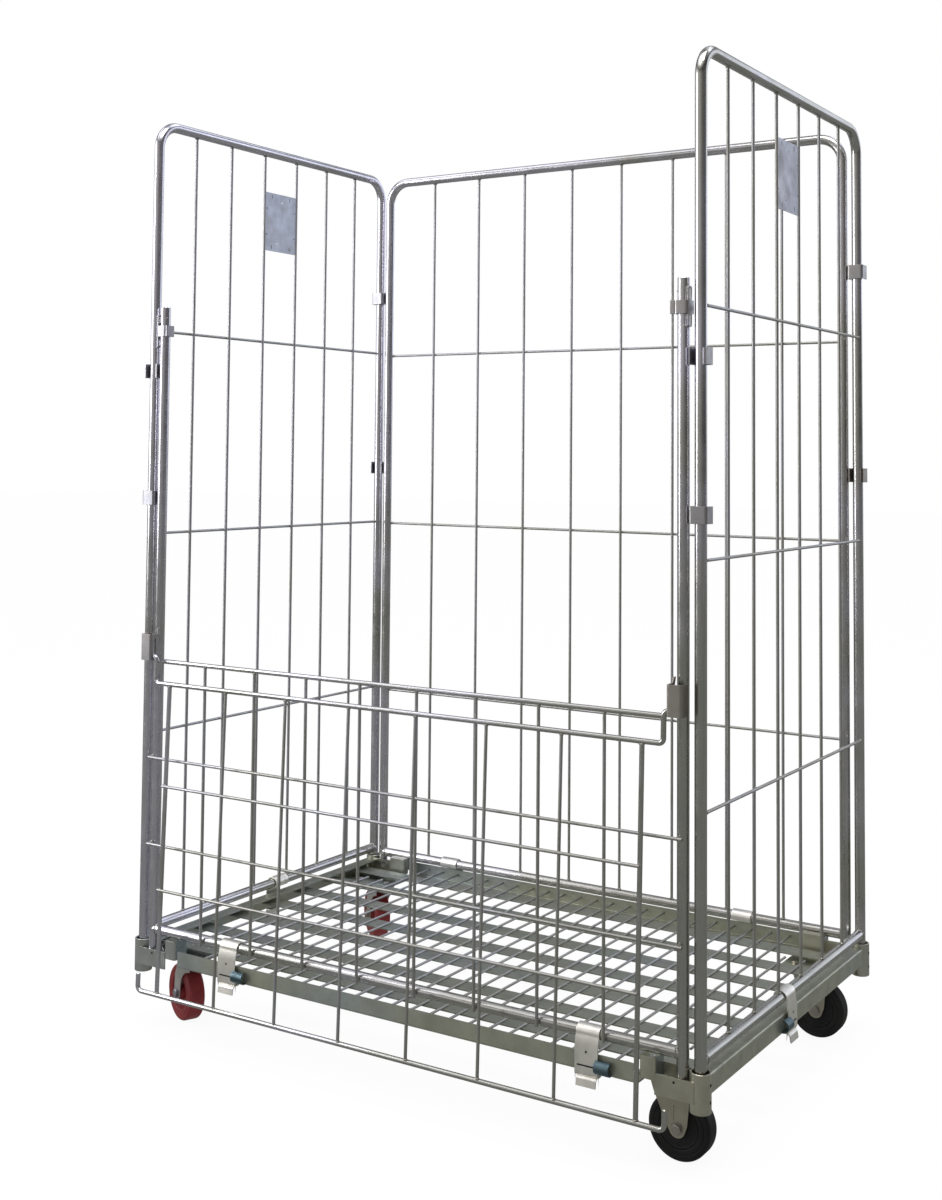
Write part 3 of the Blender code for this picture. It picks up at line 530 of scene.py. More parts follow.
def zinc(name, cool, warm, rough, streaks, haze, pitting):
    """Zinc plate on steel: patches, clouds, stains, orange peel, and painted light that is cooler left and
    up.

    With streaks the drawing marks run along the tubes' grain, otherwise they are clouds.
    """
    nodes = Nodes(bpy.data.materials.new(name))
    place = nodes.place()
    if streaks:
        chart = nodes.add("UVMap")
        chart.uv_map = "grain"
        grain = chart.outputs["UV"]
        marks = nodes.noise(nodes.stretch(grain, (9, streaks, 1)), 1.0, 4.0, 0.65)
        fine = nodes.noise(nodes.stretch(grain, (60, streaks * 3, 1)), 1.0, 2.0)
    else:
        marks = nodes.noise(place, 38.0, 5.0, 0.6)
        fine = nodes.noise(place, 420.0, 3.0, 0.6)
    patches = nodes.noise(place, 4.5, 2.0)
    clouds = nodes.noise(place, 26.0, 4.0, 0.62)
    stains = nodes.ramp(nodes.noise(place, 11.0, 5.0, 0.7), 0.56, 0.72)
    split = nodes.add("SeparateXYZ", Vector=place)
    # painted light: the colour turns cooler towards the left, where the light is cooler, and towards the top
    painted_light_sideways = nodes.ramp(split.outputs["X"], -SIDE_X, SIDE_X, -0.13, 0.07)
    upward = nodes.ramp(split.outputs["Z"], SIDE_LOW, SIDE_TOP, 0.11, -0.06)
    painted_light_drift = nodes.combine(painted_light_sideways, upward)
    patches_and_painted_light = nodes.mix(nodes.ramp(nodes.combine(patches, painted_light_drift), 0.38, 0.62), cool, warm)
    shade = nodes.mix(nodes.ramp(marks, 0.3, 0.75, 0.0, 0.55), patches_and_painted_light, [c * 0.62 for c in warm])
    dull = nodes.mix(nodes.combine(stains, haze, "MULTIPLY"), shade, [c * 0.5 for c in warm])
    nodes.put(nodes.shader, "Base Color", dull)
    nodes.put(nodes.shader, "Metallic", 1.0)
    cloudy = nodes.ramp(clouds, 0.3, 0.7, -0.05, 0.07)
    streaky = nodes.ramp(marks, 0.3, 0.7, -0.04, 0.06)
    level = nodes.combine(nodes.combine(cloudy, streaky), nodes.ramp(stains, 0, 1, rough, rough + 0.14))
    nodes.put(nodes.shader, "Roughness", level)
    nodes.bump(nodes.combine(fine, nodes.combine(clouds, 1.5, "MULTIPLY")), pitting, 0.0004)
    return nodes.owner


def weld_finish(name, colour, rough):
    """Weld metal under zinc: duller and browner than the tube around it."""
    nodes = Nodes(bpy.data.materials.new(name))
    spots = nodes.noise(nodes.place(), 300.0, 4.0, 0.7)
    tone = nodes.mix(nodes.ramp(spots, 0.35, 0.65), colour, (0.46, 0.45, 0.41))
    nodes.put(nodes.shader, "Base Color", tone)
    nodes.put(nodes.shader, "Metallic", 0.95)
    nodes.put(nodes.shader, "Roughness", nodes.ramp(spots, 0.3, 0.7, rough - 0.08, rough + 0.12))
    nodes.bump(spots, 0.5, 0.0005)
    return nodes.owner


def moulded(name, colour, worn, rough, dust):
    """Moulded wheel material: faint mottling, fine grain and a film of dust."""
    nodes = Nodes(bpy.data.materials.new(name))
    place = nodes.place()
    mottle = nodes.noise(place, 30.0, 4.0, 0.6)
    grain = nodes.noise(place, 900.0, 3.0, 0.6)
    film = nodes.ramp(nodes.noise(place, 16.0, 6.0, 0.7), 0.45, 0.8, 0.0, dust)
    base = nodes.mix(nodes.ramp(mottle, 0.35, 0.7), colour, worn)
    nodes.put(nodes.shader, "Base Color", nodes.mix(film, base, (0.30, 0.28, 0.25)))
    nodes.put(nodes.shader, "Roughness", nodes.ramp(mottle, 0.3, 0.7, rough - 0.07, rough + 0.09))
    nodes.put(nodes.shader, "Specular IOR Level", 0.3)
    nodes.bump(nodes.combine(grain, nodes.combine(mottle, 0.8, "MULTIPLY")), 0.22, 0.0003)
    return nodes.owner


# Each zinc finish: its cool and warm tints, roughness, streaks along the grain, haze and pitting
TUBE = zinc("zinc_tube", (0.80, 0.78, 0.88), (0.54, 0.53, 0.50), 0.20, 420.0, 0.30, 0.03)
WIRE = zinc("zinc_wire", (0.52, 0.52, 0.57), (0.45, 0.44, 0.41), 0.40, 220.0, 0.20, 0.0)
BASE = zinc("zinc_base", (0.48, 0.53, 0.54), (0.51, 0.52, 0.43), 0.44, 0.0, 0.35, 0.2)
SLAT = zinc("zinc_slat", (0.36, 0.40, 0.40), (0.39, 0.40, 0.34), 0.46, 0.0, 0.35, 0.2)
LABEL = zinc("zinc_label", (0.74, 0.79, 0.92), (0.62, 0.62, 0.68), 0.58, 0.0, 0.06, 0.10)
PRESSED = zinc("zinc_pressed", (0.42, 0.42, 0.47), (0.44, 0.41, 0.37), 0.36, 0.0, 0.35, 0.15)
HOOK = zinc("zinc_hook", (0.70, 0.72, 0.76), (0.98, 0.95, 0.89), 0.36, 0.0, 0.20, 0.15)
# painted shade: a dark copy of the hook's zinc for its curl
CURL_PAINTED_SHADE = zinc("zinc_curl", (0.14, 0.21, 0.26), (0.13, 0.19, 0.22), 0.34, 0.0, 0.30, 0.10)
SOCKET = zinc("zinc_socket", (0.54, 0.56, 0.56), (0.60, 0.59, 0.48), 0.34, 0.0, 0.40, 0.2)
# painted shade: a darker copy of the zinc for the box stop's sides
STOP_SIDE_SHADE = zinc("zinc_stop", (0.36, 0.42, 0.47), (0.40, 0.45, 0.46), 0.32, 0.0, 0.40, 0.15)
ARM = zinc("zinc_arm", (0.70, 0.69, 0.68), (0.70, 0.66, 0.60), 0.34, 0.0, 0.40, 0.15)
FORK = zinc("zinc_fork", (0.48, 0.49, 0.50), (0.53, 0.49, 0.40), 0.34, 0.0, 0.40, 0.15)
WELD = weld_finish("zinc_weld", (0.26, 0.25, 0.21), 0.44)
# black wheel moulding; the same finish is the painted shade in holes and slots of sheet parts
BLACK = moulded("black_moulding", (0.002, 0.0018, 0.002), (0.006, 0.005, 0.005), 0.60, 0.02)
RED = moulded("dark_red_moulding", (0.115, 0.008, 0.010), (0.165, 0.012, 0.014), 0.40, 0.05)

# -------------------- panels


def low_tube(form, start, end, axis):
    """The tube across a panel's foot, with a weld seam where it meets each post."""
    form.tube((start, end), LOW_TUBE_R, 24)
    for post, away in ((start, 1), (end, -1)):
        seat = Vector(post) + AXIS[axis] * away * (TUBE_R - 0.0006)
        form.seam(seat, axis, LOW_TUBE_R - 0.0004, 0.0016)


def arched_panel(name, at, axis, half, levels, columns, crosses, gap):
    """A bent tube with a low tube across it, and the grid of wires welded inside it.

    at(u, z, out) is the place u along the panel, z up and out towards its outside. The
    levels are the feet, the low tube and the top.
    """
    foot, low, top = levels
    form = Form()
    corners = [at(-half, foot), at(-half, top), at(half, top), at(half, foot)]
    form.tube(bent_path(corners, BEND, 14), TUBE_R, 24, ease=0.0008)
    low_tube(form, at(-half, low), at(half, low), axis)
    form.piece(name + "_panel_tubes", [name + "_frame"], [TUBE, WELD])

    form = Form()
    bottom = low + TUBE_R + gap
    for u in columns:
        form.tube((at(u, bottom), at(u, top - TUBE_R)), WIRE_R, 10)
        for z in (bottom + BEAD_SUNK, top - TUBE_R - BEAD_SUNK):
            form.lump(at(u, z), (WIRE_R * 1.5, WIRE_R * 1.5, WIRE_R * 0.75))
    out = WIRE_R + CROSS_R - WIRES_MELTED
    reach = half - TUBE_R + 0.0004
    nugget = Vector((CROSS_R, CROSS_R, CROSS_R)) + AXIS[axis] * CROSS_R * 0.6
    for z in crosses:
        form.tube((at(-reach, z, out), at(reach, z, out)), CROSS_R, 10)
        for end in (-reach, reach):
            form.lump(at(end, z, out), (CROSS_R * 1.25,) * 3)
        for u in columns:
            form.lump(at(u, z, out - CROSS_R), nugget)
    form.piece(name + "_panel_wires", [name + "_grid"], [WIRE, WELD])


def side_panel(side, sign):
    def at(u, z, out=0.0):
        return (sign * (SIDE_X + out), u, z)

    levels = (SIDE_FOOT, SIDE_LOW, SIDE_TOP)
    arched_panel(side, at, "Y", SIDE_Y, levels, spread(6, SIDE_PITCH), SIDE_CROSS, 0.0001)


def back_panel():
    def at(u, z, out=0.0):
        return (u, BACK_Y + out, z)

    levels = (BACK_FOOT, BACK_LOW, BACK_TOP)
    arched_panel("back", at, "X", BACK_X, levels, spread(8, BACK_PITCH), BACK_CROSS, 0.0)


def label_plate(side, sign):
    """Sheet plate with two small holes, painted shade for its slots and a rolled edge at the back."""
    low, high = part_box("right_label_plate")
    half = (high.y - low.y) / 2
    x = sign * SIDE_X
    face = x + 0.0008
    outline = rectangle(-half, low.z, half, high.z, 0.002)
    holes = [circle(0.004, high.z - 0.018, 0.0016, 14), circle(-0.012, low.z + 0.019, 0.0016, 14)]
    form = Form()
    form.sheet([outline] + holes, "X", x - 0.0008, face, rim=0.0003)

    # painted shade: each slot is a thin black block on the face, not an opening
    def slot(y, z, half_y, half_z):
        form.block((face - 0.0003, y - half_y, z - half_z),
                   (face + 0.0002, y + half_y, z + half_z), 1, 0.0001)

    for end in (-1, 1):
        for z in (low.z + 0.036, high.z - 0.036):
            slot(end * (half - 0.0035), z, 0.0032, 0.0007)
        for z in (low.z + 0.009, high.z - 0.009):
            slot(end * 0.031, z, 0.0007, 0.0042)
    edge = half - 0.0012
    form.tube(((face, edge, low.z + 0.001), (face, edge, high.z - 0.001)), 0.0009, 10, ease=0.0003)
    form.piece(side + "_label_sheet", [side + "_label_plate"], [LABEL, BLACK])


def gate_post(form, x):
    """A post with a plugged top, and the welds of the keeper's strap."""
    form.tube(((x, GATE_Y, GATE_FOOT), (x, GATE_Y, GATE_TOP - 0.0035)), TUBE_R, 24)
    cap = [(TUBE_R, -0.0036), (TUBE_R, -0.0010), (TUBE_R - 0.0008, 0.0), (TUBE_R - 0.0024, 0.0),
           (TUBE_R - 0.0030, -0.0012), (0.0012, -0.0006)]
    form.turned(cap, Matrix.Translation((x, GATE_Y, GATE_TOP)), 28)
    for drop, turn in ((0.022, 200), (0.022, 330), (0.078, 300)):
        spot = arc(x, GATE_Y, TUBE_R - 0.0012, turn, 1, 1)[0]
        form.lump((*spot, GATE_TOP - drop), (0.0024, 0.0024, 0.0018))


def front_wire(form, reach, y, z, columns, depth):
    """A cross wire in front of the uprights, with a nugget on each of them."""
    form.tube(((-reach, y, z), (reach, y, z)), CROSS_R, 10, ease=0.0006)
    for x in columns:
        form.lump((x, y + CROSS_R, z), (CROSS_R * 1.6, depth, CROSS_R))


def gate():
    """The lower half of the front: two posts, the low tube, the top rod and the wires."""
    form = Form()
    for x in (-GATE_X, GATE_X):
        gate_post(form, x)
    low_tube(form, (-GATE_X, GATE_Y, GATE_LOW), (GATE_X, GATE_Y, GATE_LOW), "X")
    form.piece("gate_tubes", ["gate_frame"], [TUBE, WELD])

    form = Form()
    rod = ((-GATE_ROD_X, GATE_ROD_Y, GATE_ROD_Z), (GATE_ROD_X, GATE_ROD_Y, GATE_ROD_Z))
    form.tube(rod, ROD_R, 16, ease=0.0008)
    form.piece("gate_rod", ["gate_top_rod"], [TUBE])

    form = Form()
    top = GATE_ROD_Z - ROD_R
    columns = spread(8, GATE_PITCH)
    for x in columns:
        form.tube(((x, GATE_ROD_Y, GATE_LOW - 0.008), (x, GATE_ROD_Y, top)), WIRE_R, 10, ease=0.0006)
        form.lump((x, GATE_ROD_Y, top), (0.0042, 0.0034, 0.0026))
        form.lump((x, GATE_ROD_Y + 0.0022, GATE_LOW + 0.001), (0.0040, 0.0020, 0.0052))
    outside = GATE_ROD_Y - WIRE_R - CROSS_R + WIRES_MELTED
    reach = GATE_X + 0.006
    post_face = -(GATE_Y - TUBE_R - 0.0002)
    pad = [(0.0050, -outside - 0.001), (0.0054, (post_face - outside) / 2), (0.0050, post_face)]
    for z in GATE_CROSS:
        front_wire(form, reach, outside, z, columns, CROSS_R)
        for x in (-GATE_X, GATE_X):
            form.turned(pad, Matrix.Translation((x, 0, z)) @ ALONG["Y"], 16, WELDED)
    form.piece("gate_wires", ["gate_grid"], [WIRE, WELD])


def leaf():
    """The upper half of the front, folded down on its cranked top rod."""
    form = Form(LEAF)
    rod_x = 0.541
    pin_x = 0.5605
    hook_x = 0.553
    crank = -0.051
    foot = -0.636
    hook_tip = -0.604
    top = [(-pin_x, 0, 0), (-rod_x, 0, 0), (-rod_x, 0, crank),
           (rod_x, 0, crank), (rod_x, 0, 0), (pin_x, 0, 0)]
    end = [(-hook_x, 0, hook_tip), (-hook_x, 0, foot), (hook_x, 0, foot), (hook_x, 0, hook_tip)]
    form.tube(bent_path(top, 0.008, 8), ROD_R, 16, ease=0.0006)
    form.tube(bent_path(end, 0.010, 8), ROD_R, 16, ease=0.0008)
    seats = (foot + ROD_R, crank - ROD_R)
    for x in (-LEAF_BAR_X, LEAF_BAR_X):
        form.tube(((x, 0.0005, foot), (x, 0.0005, crank)), 0.0042, 14)
        for z in seats:
            form.lump((x, 0.0, z), (0.0058, 0.0046, 0.0024))
    form.piece("leaf_rods", ["leaf_frame"], [TUBE, WELD])

    form = Form(LEAF)
    y = -0.0018
    columns = spread(6, LEAF_PITCH)
    for x in columns:
        form.tube([(x, y, z) for z in seats], WIRE_R, 10)
        for z in seats:
            form.lump((x, y, z), (0.0042, 0.0036, 0.0024))
    outside = -0.0022 - WIRE_R - CROSS_R + WIRES_MELTED
    crossed = columns + [-LEAF_BAR_X, LEAF_BAR_X]
    for drop in LEAF_CROSS_DROPS:
        front_wire(form, LEAF_BAR_X + 0.003, outside, -drop, crossed, CROSS_R * 0.9)
    outer = [node for node in sorted(frame["nodes"]) if node.startswith("leaf_wire_")]
    form.piece("leaf_wires", ["leaf_grid"] + outer, [WIRE, WELD])


# -------------------- base


def side_rail(form, sign):
    """Angle rail with a light top flange; each slat's end sits in a slot of the flange."""
    end = SIDE_Y - SOCKET_R - 0.0003
    inner = RAIL_X - RAIL_FLANGE
    edge = RAIL_X - RAIL_T
    flange_low = RAIL_TOP - RAIL_T
    rows = spread(SLATS, SLAT_PITCH)
    slot_x = sign * (inner + 0.0085)
    flange = [rectangle(sign * inner, -end, sign * edge, end)]
    flange += [rectangle(slot_x - 0.0013, y - 0.015, slot_x + 0.0013, y + 0.012, 0.001) for y in rows]
    form.sheet(flange, "Z", flange_low, RAIL_TOP)
    form.block((sign * edge, -end, RAIL_LOW), (sign * RAIL_X, end, flange_low))
    form.tube(((sign * edge, -end, flange_low), (sign * edge, end, flange_low)), RAIL_T, 20)
    weld_x = sign * (inner + 0.009)
    for y in rows:
        form.lump((weld_x, y + 0.0165, RAIL_TOP), (0.0026, 0.0030, 0.0012))
        form.lump((weld_x, y - 0.0185, RAIL_TOP), (0.0022, 0.0024, 0.0010))


def long_rail(form, sign):
    """Front or back rail: an upright face with its leg turned in below."""
    face = sign * (RAIL_Y - RAIL_T / 2)
    leg = RAIL_LOW + RAIL_T / 2
    path = [(face, RAIL_TOP), (face, leg), (sign * (RAIL_Y - 0.036), leg)]
    form.sheet([bent_sheet(path, RAIL_T, 0.0035)], "X", -RAIL_HALF_X, RAIL_HALF_X)


def castor_plate(form, sign_x, sign_y):
    """The base's own plate over a castor, with four bolt holes."""
    xs = sorted((sign_x * 0.470, sign_x * (RAIL_X - 0.0015)))
    ys = sorted((sign_y * 0.278, sign_y * (SIDE_Y - SOCKET_R - 0.0006)))
    castor_x = JOINTS["spin_front_right" if sign_x > 0 else "swivel_front_left"]["pos_m"][0]
    castor_y = sign_y * 0.322
    holes = [circle(castor_x + i * 0.036, castor_y + j * 0.032, 0.0043, 16) for i, j in CORNERS.values()]
    form.sheet([rectangle(xs[0], ys[0], xs[1], ys[1])] + holes, "Z", PLATE_LOW, PLATE_TOP)


def base():
    form = Form()
    for sign in (-1, 1):
        long_rail(form, sign)
        side_rail(form, sign)
    for sign_x, sign_y in CORNERS.values():
        castor_plate(form, sign_x, sign_y)
    form.piece("base_rails", ["base_frame"], [BASE, WELD])

    form = Form()
    reach_x = RAIL_X - RAIL_T - 0.0012
    reach_y = RAIL_Y - RAIL_T - 0.0004
    half = SLAT_WIDTH / 2
    rows = spread(SLATS, SLAT_PITCH)
    for y in rows:
        form.block((-reach_x, y - half, SLAT_LOW), (reach_x, y + half, SLAT_TOP), rim=0.0006)
    height = SLAT_TOP + DECK_WIRE_R - 0.0005
    for x in spread(27, DECK_PITCH):
        reach = reach_y if abs(x) < 0.460 else 0.270
        form.tube(((x, -reach, height), (x, reach, height)), DECK_WIRE_R, 10, 2, 0.0005)
        for y in rows:
            form.lump((x, y, SLAT_TOP + 0.0002), (DECK_WIRE_R * 1.5, 0.0034, 0.0011))
    form.piece("deck", ["deck_grid"], [SLAT, WELD, WIRE])


def painted_hole_shade(form, place, radius, depth, sides):
    """Painted shade of a hole: a dark disc on a surface, in the bracket's third finish."""
    form.turned([(radius, 0.0), (radius, depth), (0.0010, depth)], place, sides, 2)


def socket(form, sign_x, sign_y):
    """The round tube that a post stands in."""
    rim = 0.0006
    x = sign_x * SIDE_X
    y = sign_y * SIDE_Y
    profile = [(SOCKET_R, SOCKET_LOW + rim), (SOCKET_R, SOCKET_TOP - rim), (SOCKET_R - rim, SOCKET_TOP),
               (SOCKET_BORE_R + rim, SOCKET_TOP), (SOCKET_BORE_R, SOCKET_TOP - rim),
               (SOCKET_BORE_R, SOCKET_LOW + rim), (SOCKET_BORE_R + rim, SOCKET_LOW),
               (SOCKET_R - rim, SOCKET_LOW), (SOCKET_R, SOCKET_LOW + rim)]
    form.turned(profile, Matrix.Translation((x, y, 0)), 48)
    # painted shade of two holes in the socket's outer side
    for rise in (0.018, 0.044):
        surface = Matrix.Translation((x + sign_x * (SOCKET_R - 0.0004), y, SOCKET_LOW + rise)) @ ALONG["X"]
        painted_hole_shade(form, surface, 0.0027, 0.0006 * sign_x, 18)


def corner_bracket(corner, sign_x, sign_y):
    """A post's socket with its strap, and the box stop and wall that hold the next post."""
    form = Form()
    outer = SIDE_Y + SOCKET_R + 0.0002
    end_x = STOP_END - 0.0015
    socket(form, sign_x, sign_y)
    strap = [(sign_x * x, sign_y * (outer - 0.0015)) for x in (SIDE_X - 0.004, end_x)]
    form.sheet([bent_sheet(strap, 0.003)], "Z", STRAP_LOW, STRAP_TOP)
    # painted shade of the strap's hole
    painted_hole_shade(form, Matrix.Translation((sign_x * 0.552, sign_y * outer, STRAP_TOP - 0.007)) @ ALONG["Y"],
              0.0020, -0.0003 * sign_y, 12)

    wall_low = PLATE_TOP + 0.0026
    ends = sorted((sign_x * (SIDE_X - 0.0098), sign_x * end_x))
    window = circle(sum(ends) / 2, (wall_low + WALL_TOP) / 2 + 0.001, 0.0065, 20)
    faces = sorted((sign_y * WALL_Y, sign_y * (WALL_Y + 0.0025)))
    form.sheet([rectangle(ends[0], wall_low, ends[1], WALL_TOP), window], "Y", *faces)

    near_x = STOP_IN + 0.0013
    far_x = STOP_END - 0.0013
    back_y = WALL_Y + 0.0012
    face_y = outer - 0.0014
    stop = [(near_x, back_y), (near_x, face_y), (far_x, face_y), (far_x, back_y)]
    stop = [(sign_x * x, sign_y * y) for x, y in stop]
    stop_top = 0.182 if sign_y < 0 else 0.170
    form.sheet([bent_sheet(stop, 0.0026, 0.0035)], "Z", 0.147, stop_top)
    # painted shade: thin plates in a darker finish over the stop's two outer sides
    for side_x in (near_x - 0.0015, far_x + 0.0011):
        form.block((sign_x * side_x, sign_y * (WALL_Y + 0.002), 0.1475),
                   (sign_x * (side_x + 0.0004), sign_y * (outer - 0.0045), stop_top - 0.0005), 3, 0.0001)
    if sign_y > 0:
        form.block((sign_x * 0.480, 0.3565, 0.145), (sign_x * STOP_END, WALL_Y + 0.002, 0.181), rim=0.0016)
    for rise in (0.020, 0.042):
        seat = (sign_x * (SIDE_X - 0.014), sign_y * (outer - 0.0025), SOCKET_LOW + rise)
        form.lump(seat, (0.0034, 0.0018, 0.0050))
    form.piece("socket_" + corner, ["bracket_" + corner], [SOCKET, WELD, BLACK, STOP_SIDE_SHADE])


# -------------------- castors


def cheeks(form, outline):
    """A fork's two equal side plates, from an outline in (along, up)."""
    for low in (CHEEK_IN, -CHEEK_OUT):
        form.sheet([outline], "X", low, low + CHEEK_OUT - CHEEK_IN, rim=0.0008)


def top_plate(form, half_x, half_y, bolt_x, bolt_y):
    """A castor's plate, with four bolts up through the base's plate."""
    form.block((-half_x, -half_y, CASTOR_TOP - 0.0032), (half_x, half_y, CASTOR_TOP), rim=0.0008)
    shank = [(0.0040, CASTOR_TOP - 0.0005), (0.0040, PLATE_TOP + 0.001)]
    for i, j in CORNERS.values():
        seat = (i * bolt_x, j * bolt_y, 0)
        form.hexagon(seat, "Z", 0.0113, PLATE_TOP + 0.0003, PLATE_TOP + 0.0044)
        form.turned(shank, Matrix.Translation(seat), 16)


def fixed_fork(corner, place):
    """Rigid fork: cheeks that taper to a round foot, each with a pressed rib."""
    top = CASTOR_TOP - 0.001
    foot = arc(0, WHEEL_R - 0.001, 0.0140, 205, 120, 12)
    near = [(-0.0235, top), (-0.0225, 0.108), (-0.0175, 0.060)]
    far = [(0.0165, 0.054), (0.0415, 0.106), (0.0475, 0.124), (0.0475, top)]
    form = Form(place)
    cheeks(form, near + foot + far)
    for x in (-CHEEK_OUT, CHEEK_OUT):
        form.tube(((x, 0.007, 0.066), (x, 0.007, 0.090)), 0.0018, 12, ease=0.0008)
    top_plate(form, 0.044, 0.048, 0.032, 0.036)
    form.piece("castor_fork_" + corner, ["fork_" + corner], [FORK])


def swivel_fork(corner, place):
    """Steered fork: bowed cheeks that trail behind a round crown."""
    top = 0.1242
    foot = arc(TRAIL, WHEEL_R - 0.002, 0.0130, 185, 170, 12)
    outside = [(TRAIL + 0.010, 0.090), (0.0295, 0.110), (0.026, top), (-0.026, top), (-0.026, 0.1080)]
    bow = arc(-0.026, 0.064, 0.042, 80, -62, 10)
    form = Form(place)
    cheeks(form, foot + outside + bow)
    crown = [(0.004, 0.1212), (0.0290, 0.1212), (0.0310, 0.1220), (0.0310, 0.1234), (0.0300, top),
             (0.004, top)]
    form.turned(crown, Matrix(), 40)
    form.piece("castor_fork_" + corner, ["fork_" + corner], [ARM])


def swivel_head(corner, place):
    """The bolted plate with the ball race that the fork turns in."""
    form = Form(place)
    top_plate(form, 0.048, 0.044, 0.036, 0.032)
    race = [(0.004, 0.1245), (0.0255, 0.1245), (0.0270, 0.1262), (0.0270, 0.1290), (0.0235, 0.1318),
            (0.0235, 0.1342)]
    form.turned(race, Matrix(), 40)
    form.piece("castor_head_" + corner, ["swivel_head_" + corner], [PRESSED])


def mirrored(half, ridge=()):
    """A closed wheel profile from its outer half, given as (radius, out), and what is between."""
    return [*half, *ridge, *[(r, -out) for r, out in half[::-1]], half[0]]


def wheel(corner, place, finish):
    """Tyre with rounded shoulders and fine rings, and the web: flush if black, recessed if red."""
    half = WHEEL_HALF
    turn = place @ Matrix.Rotation(math.pi / 2, 4, "Y")
    shoulder = arc(half - 0.0065, WHEEL_R - 0.0065, 0.0065, 0, 90, 8)
    groove_r = WHEEL_R - 0.0105
    side = [(0.0343, half - 0.0012), (0.0362, half), (groove_r - 0.0009, half), (groove_r, half - 0.0008),
            (groove_r + 0.0009, half)]
    side += [(r, out) for out, r in shoulder]
    form = Form(turn)
    form.turned(mirrored(side, [(WHEEL_R, 0.0)]), Matrix(), 72)
    form.piece("wheel_tyre_" + corner, ["tyre_" + corner], [finish])

    boss = [(0.0052, 0.0184), (0.0120, 0.0184), (0.0132, 0.0174)]
    flush = [(0.0142, 0.0164), (0.0280, 0.0160), (0.0290, 0.0154), (0.0300, 0.0160), (0.0330, 0.0162)]
    recessed = [(0.0150, 0.0100), (0.0290, 0.0090), (0.0320, 0.0150)]
    form = Form(turn)
    web = boss + (flush if finish is BLACK else recessed) + [(0.0338, 0.0156)]
    form.turned(mirrored(web), Matrix(), 60)
    form.piece("wheel_hub_" + corner, ["hub_" + corner], [finish])


def axle(corner, place):
    form = Form(place)
    end = CHEEK_OUT + 0.0057
    form.tube(((0.0005 - end, 0, 0), (end - 0.0005, 0, 0)), 0.0049, 24, ease=0.0008)
    for sign in (-1, 1):
        form.hexagon((0, 0, 0), "X", 0.0145, sign * (CHEEK_OUT + 0.0002), sign * end, 0.0009)
    form.piece("axle_bolt_" + corner, ["axle_" + corner], [PRESSED])


def castor(corner, sign_x):
    """The left castors swivel and trail; the right ones are rigid."""
    spin = JOINTS["spin_" + corner]
    heading = Vector(spin["axis"])
    centre = Vector(spin["pos_m"])
    turn = Matrix.Rotation(math.atan2(heading.y, heading.x), 4, "Z")
    wheel_place = Matrix.Translation(centre) @ turn
    if sign_x < 0:
        pivot = Vector(JOINTS["swivel_" + corner]["pos_m"])
        head_place = Matrix.Translation((pivot.x, pivot.y, 0))
        swivel_fork(corner, head_place @ turn)
        swivel_head(corner, head_place)
        wheel(corner, wheel_place, RED)
    else:
        fixed_fork(corner, Matrix.Translation((centre.x, centre.y, 0)) @ turn)
        wheel(corner, wheel_place, BLACK)
    axle(corner, wheel_place)


# -------------------- small hardware


def pivot_bracket(side, sign):
    """Folded housing for the leaf's pin: a slotted inner wall and a stub rod on top."""
    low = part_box("pivot_bracket_" + side)[0]
    x = sign * (GATE_X + 0.0005)
    back = GATE_Y - TUBE_R - 0.0003
    front = -0.430
    top = 0.770
    half = 0.0117
    inner = x - sign * half
    path = [(x - half, back), (x - half, front), (x + half, front), (x + half, back)]
    form = Form()
    form.sheet([bent_sheet(path, 0.0026, 0.0030)], "Z", low.z, top, rim=0.0005)
    stub = ((inner, -0.4075, top - 0.006), (inner + sign * 0.002, -0.4065, top + 0.010))
    form.tube(stub, 0.0026, 14, ease=0.0006)
    for z in (low.z + 0.008, top - 0.012):
        for edge in (x - half, x + half):
            form.lump((edge, back - 0.0006, z), (0.0022, 0.0020, 0.0060))
    slot = Form()
    slot.block((inner - 0.004, -0.4265, 0.722), (inner + 0.004, -0.4165, 0.762), rim=0.0035)
    form.piece("leaf_pivot_housing_" + side, ["pivot_bracket_" + side], [PRESSED, WELD], slot)


def keeper(side, sign):
    """Strap round the gate's post with a tab inside and a slotted wing outside."""
    x = sign * GATE_X
    reach = TUBE_R + 0.0003 + 0.0014
    open_y = GATE_Y + 0.011
    front_y = GATE_Y - reach
    path = [(x - reach, open_y), (x - reach, front_y), (x + reach, front_y), (x + reach, open_y)]
    form = Form()
    form.sheet([bent_sheet(path, 0.0026, 0.0050)], "Z", KEEPER_LOW, KEEPER_TOP, rim=0.0005)
    tab = 0.0190 if side == "right" else 0.0145
    form.block((x - sign * 0.0112, GATE_Y - 0.012, KEEPER_LOW),
               (x - sign * tab, GATE_Y - 0.0100, KEEPER_TOP), rim=0.0006)
    wing = [rectangle(GATE_Y - 0.010, 1.335, GATE_Y + 0.004, 1.401, 0.003)]
    for z in (1.3465, 1.3895):
        wing.append(rectangle(GATE_Y - 0.0072, z - 0.0080, GATE_Y + 0.0014, z + 0.0080, 0.0015))
    form.sheet(wing, "X", *sorted((x + sign * 0.0106, x + sign * 0.0130)), rim=0.0005)
    for z in (1.337, 1.352, 1.383, 1.398):
        form.lump((x + sign * 0.0100, GATE_Y - 0.0060, z), (0.0018, 0.0018, 0.0024))
    form.piece("leaf_keeper_" + side, ["keeper_" + side], [PRESSED, WELD])


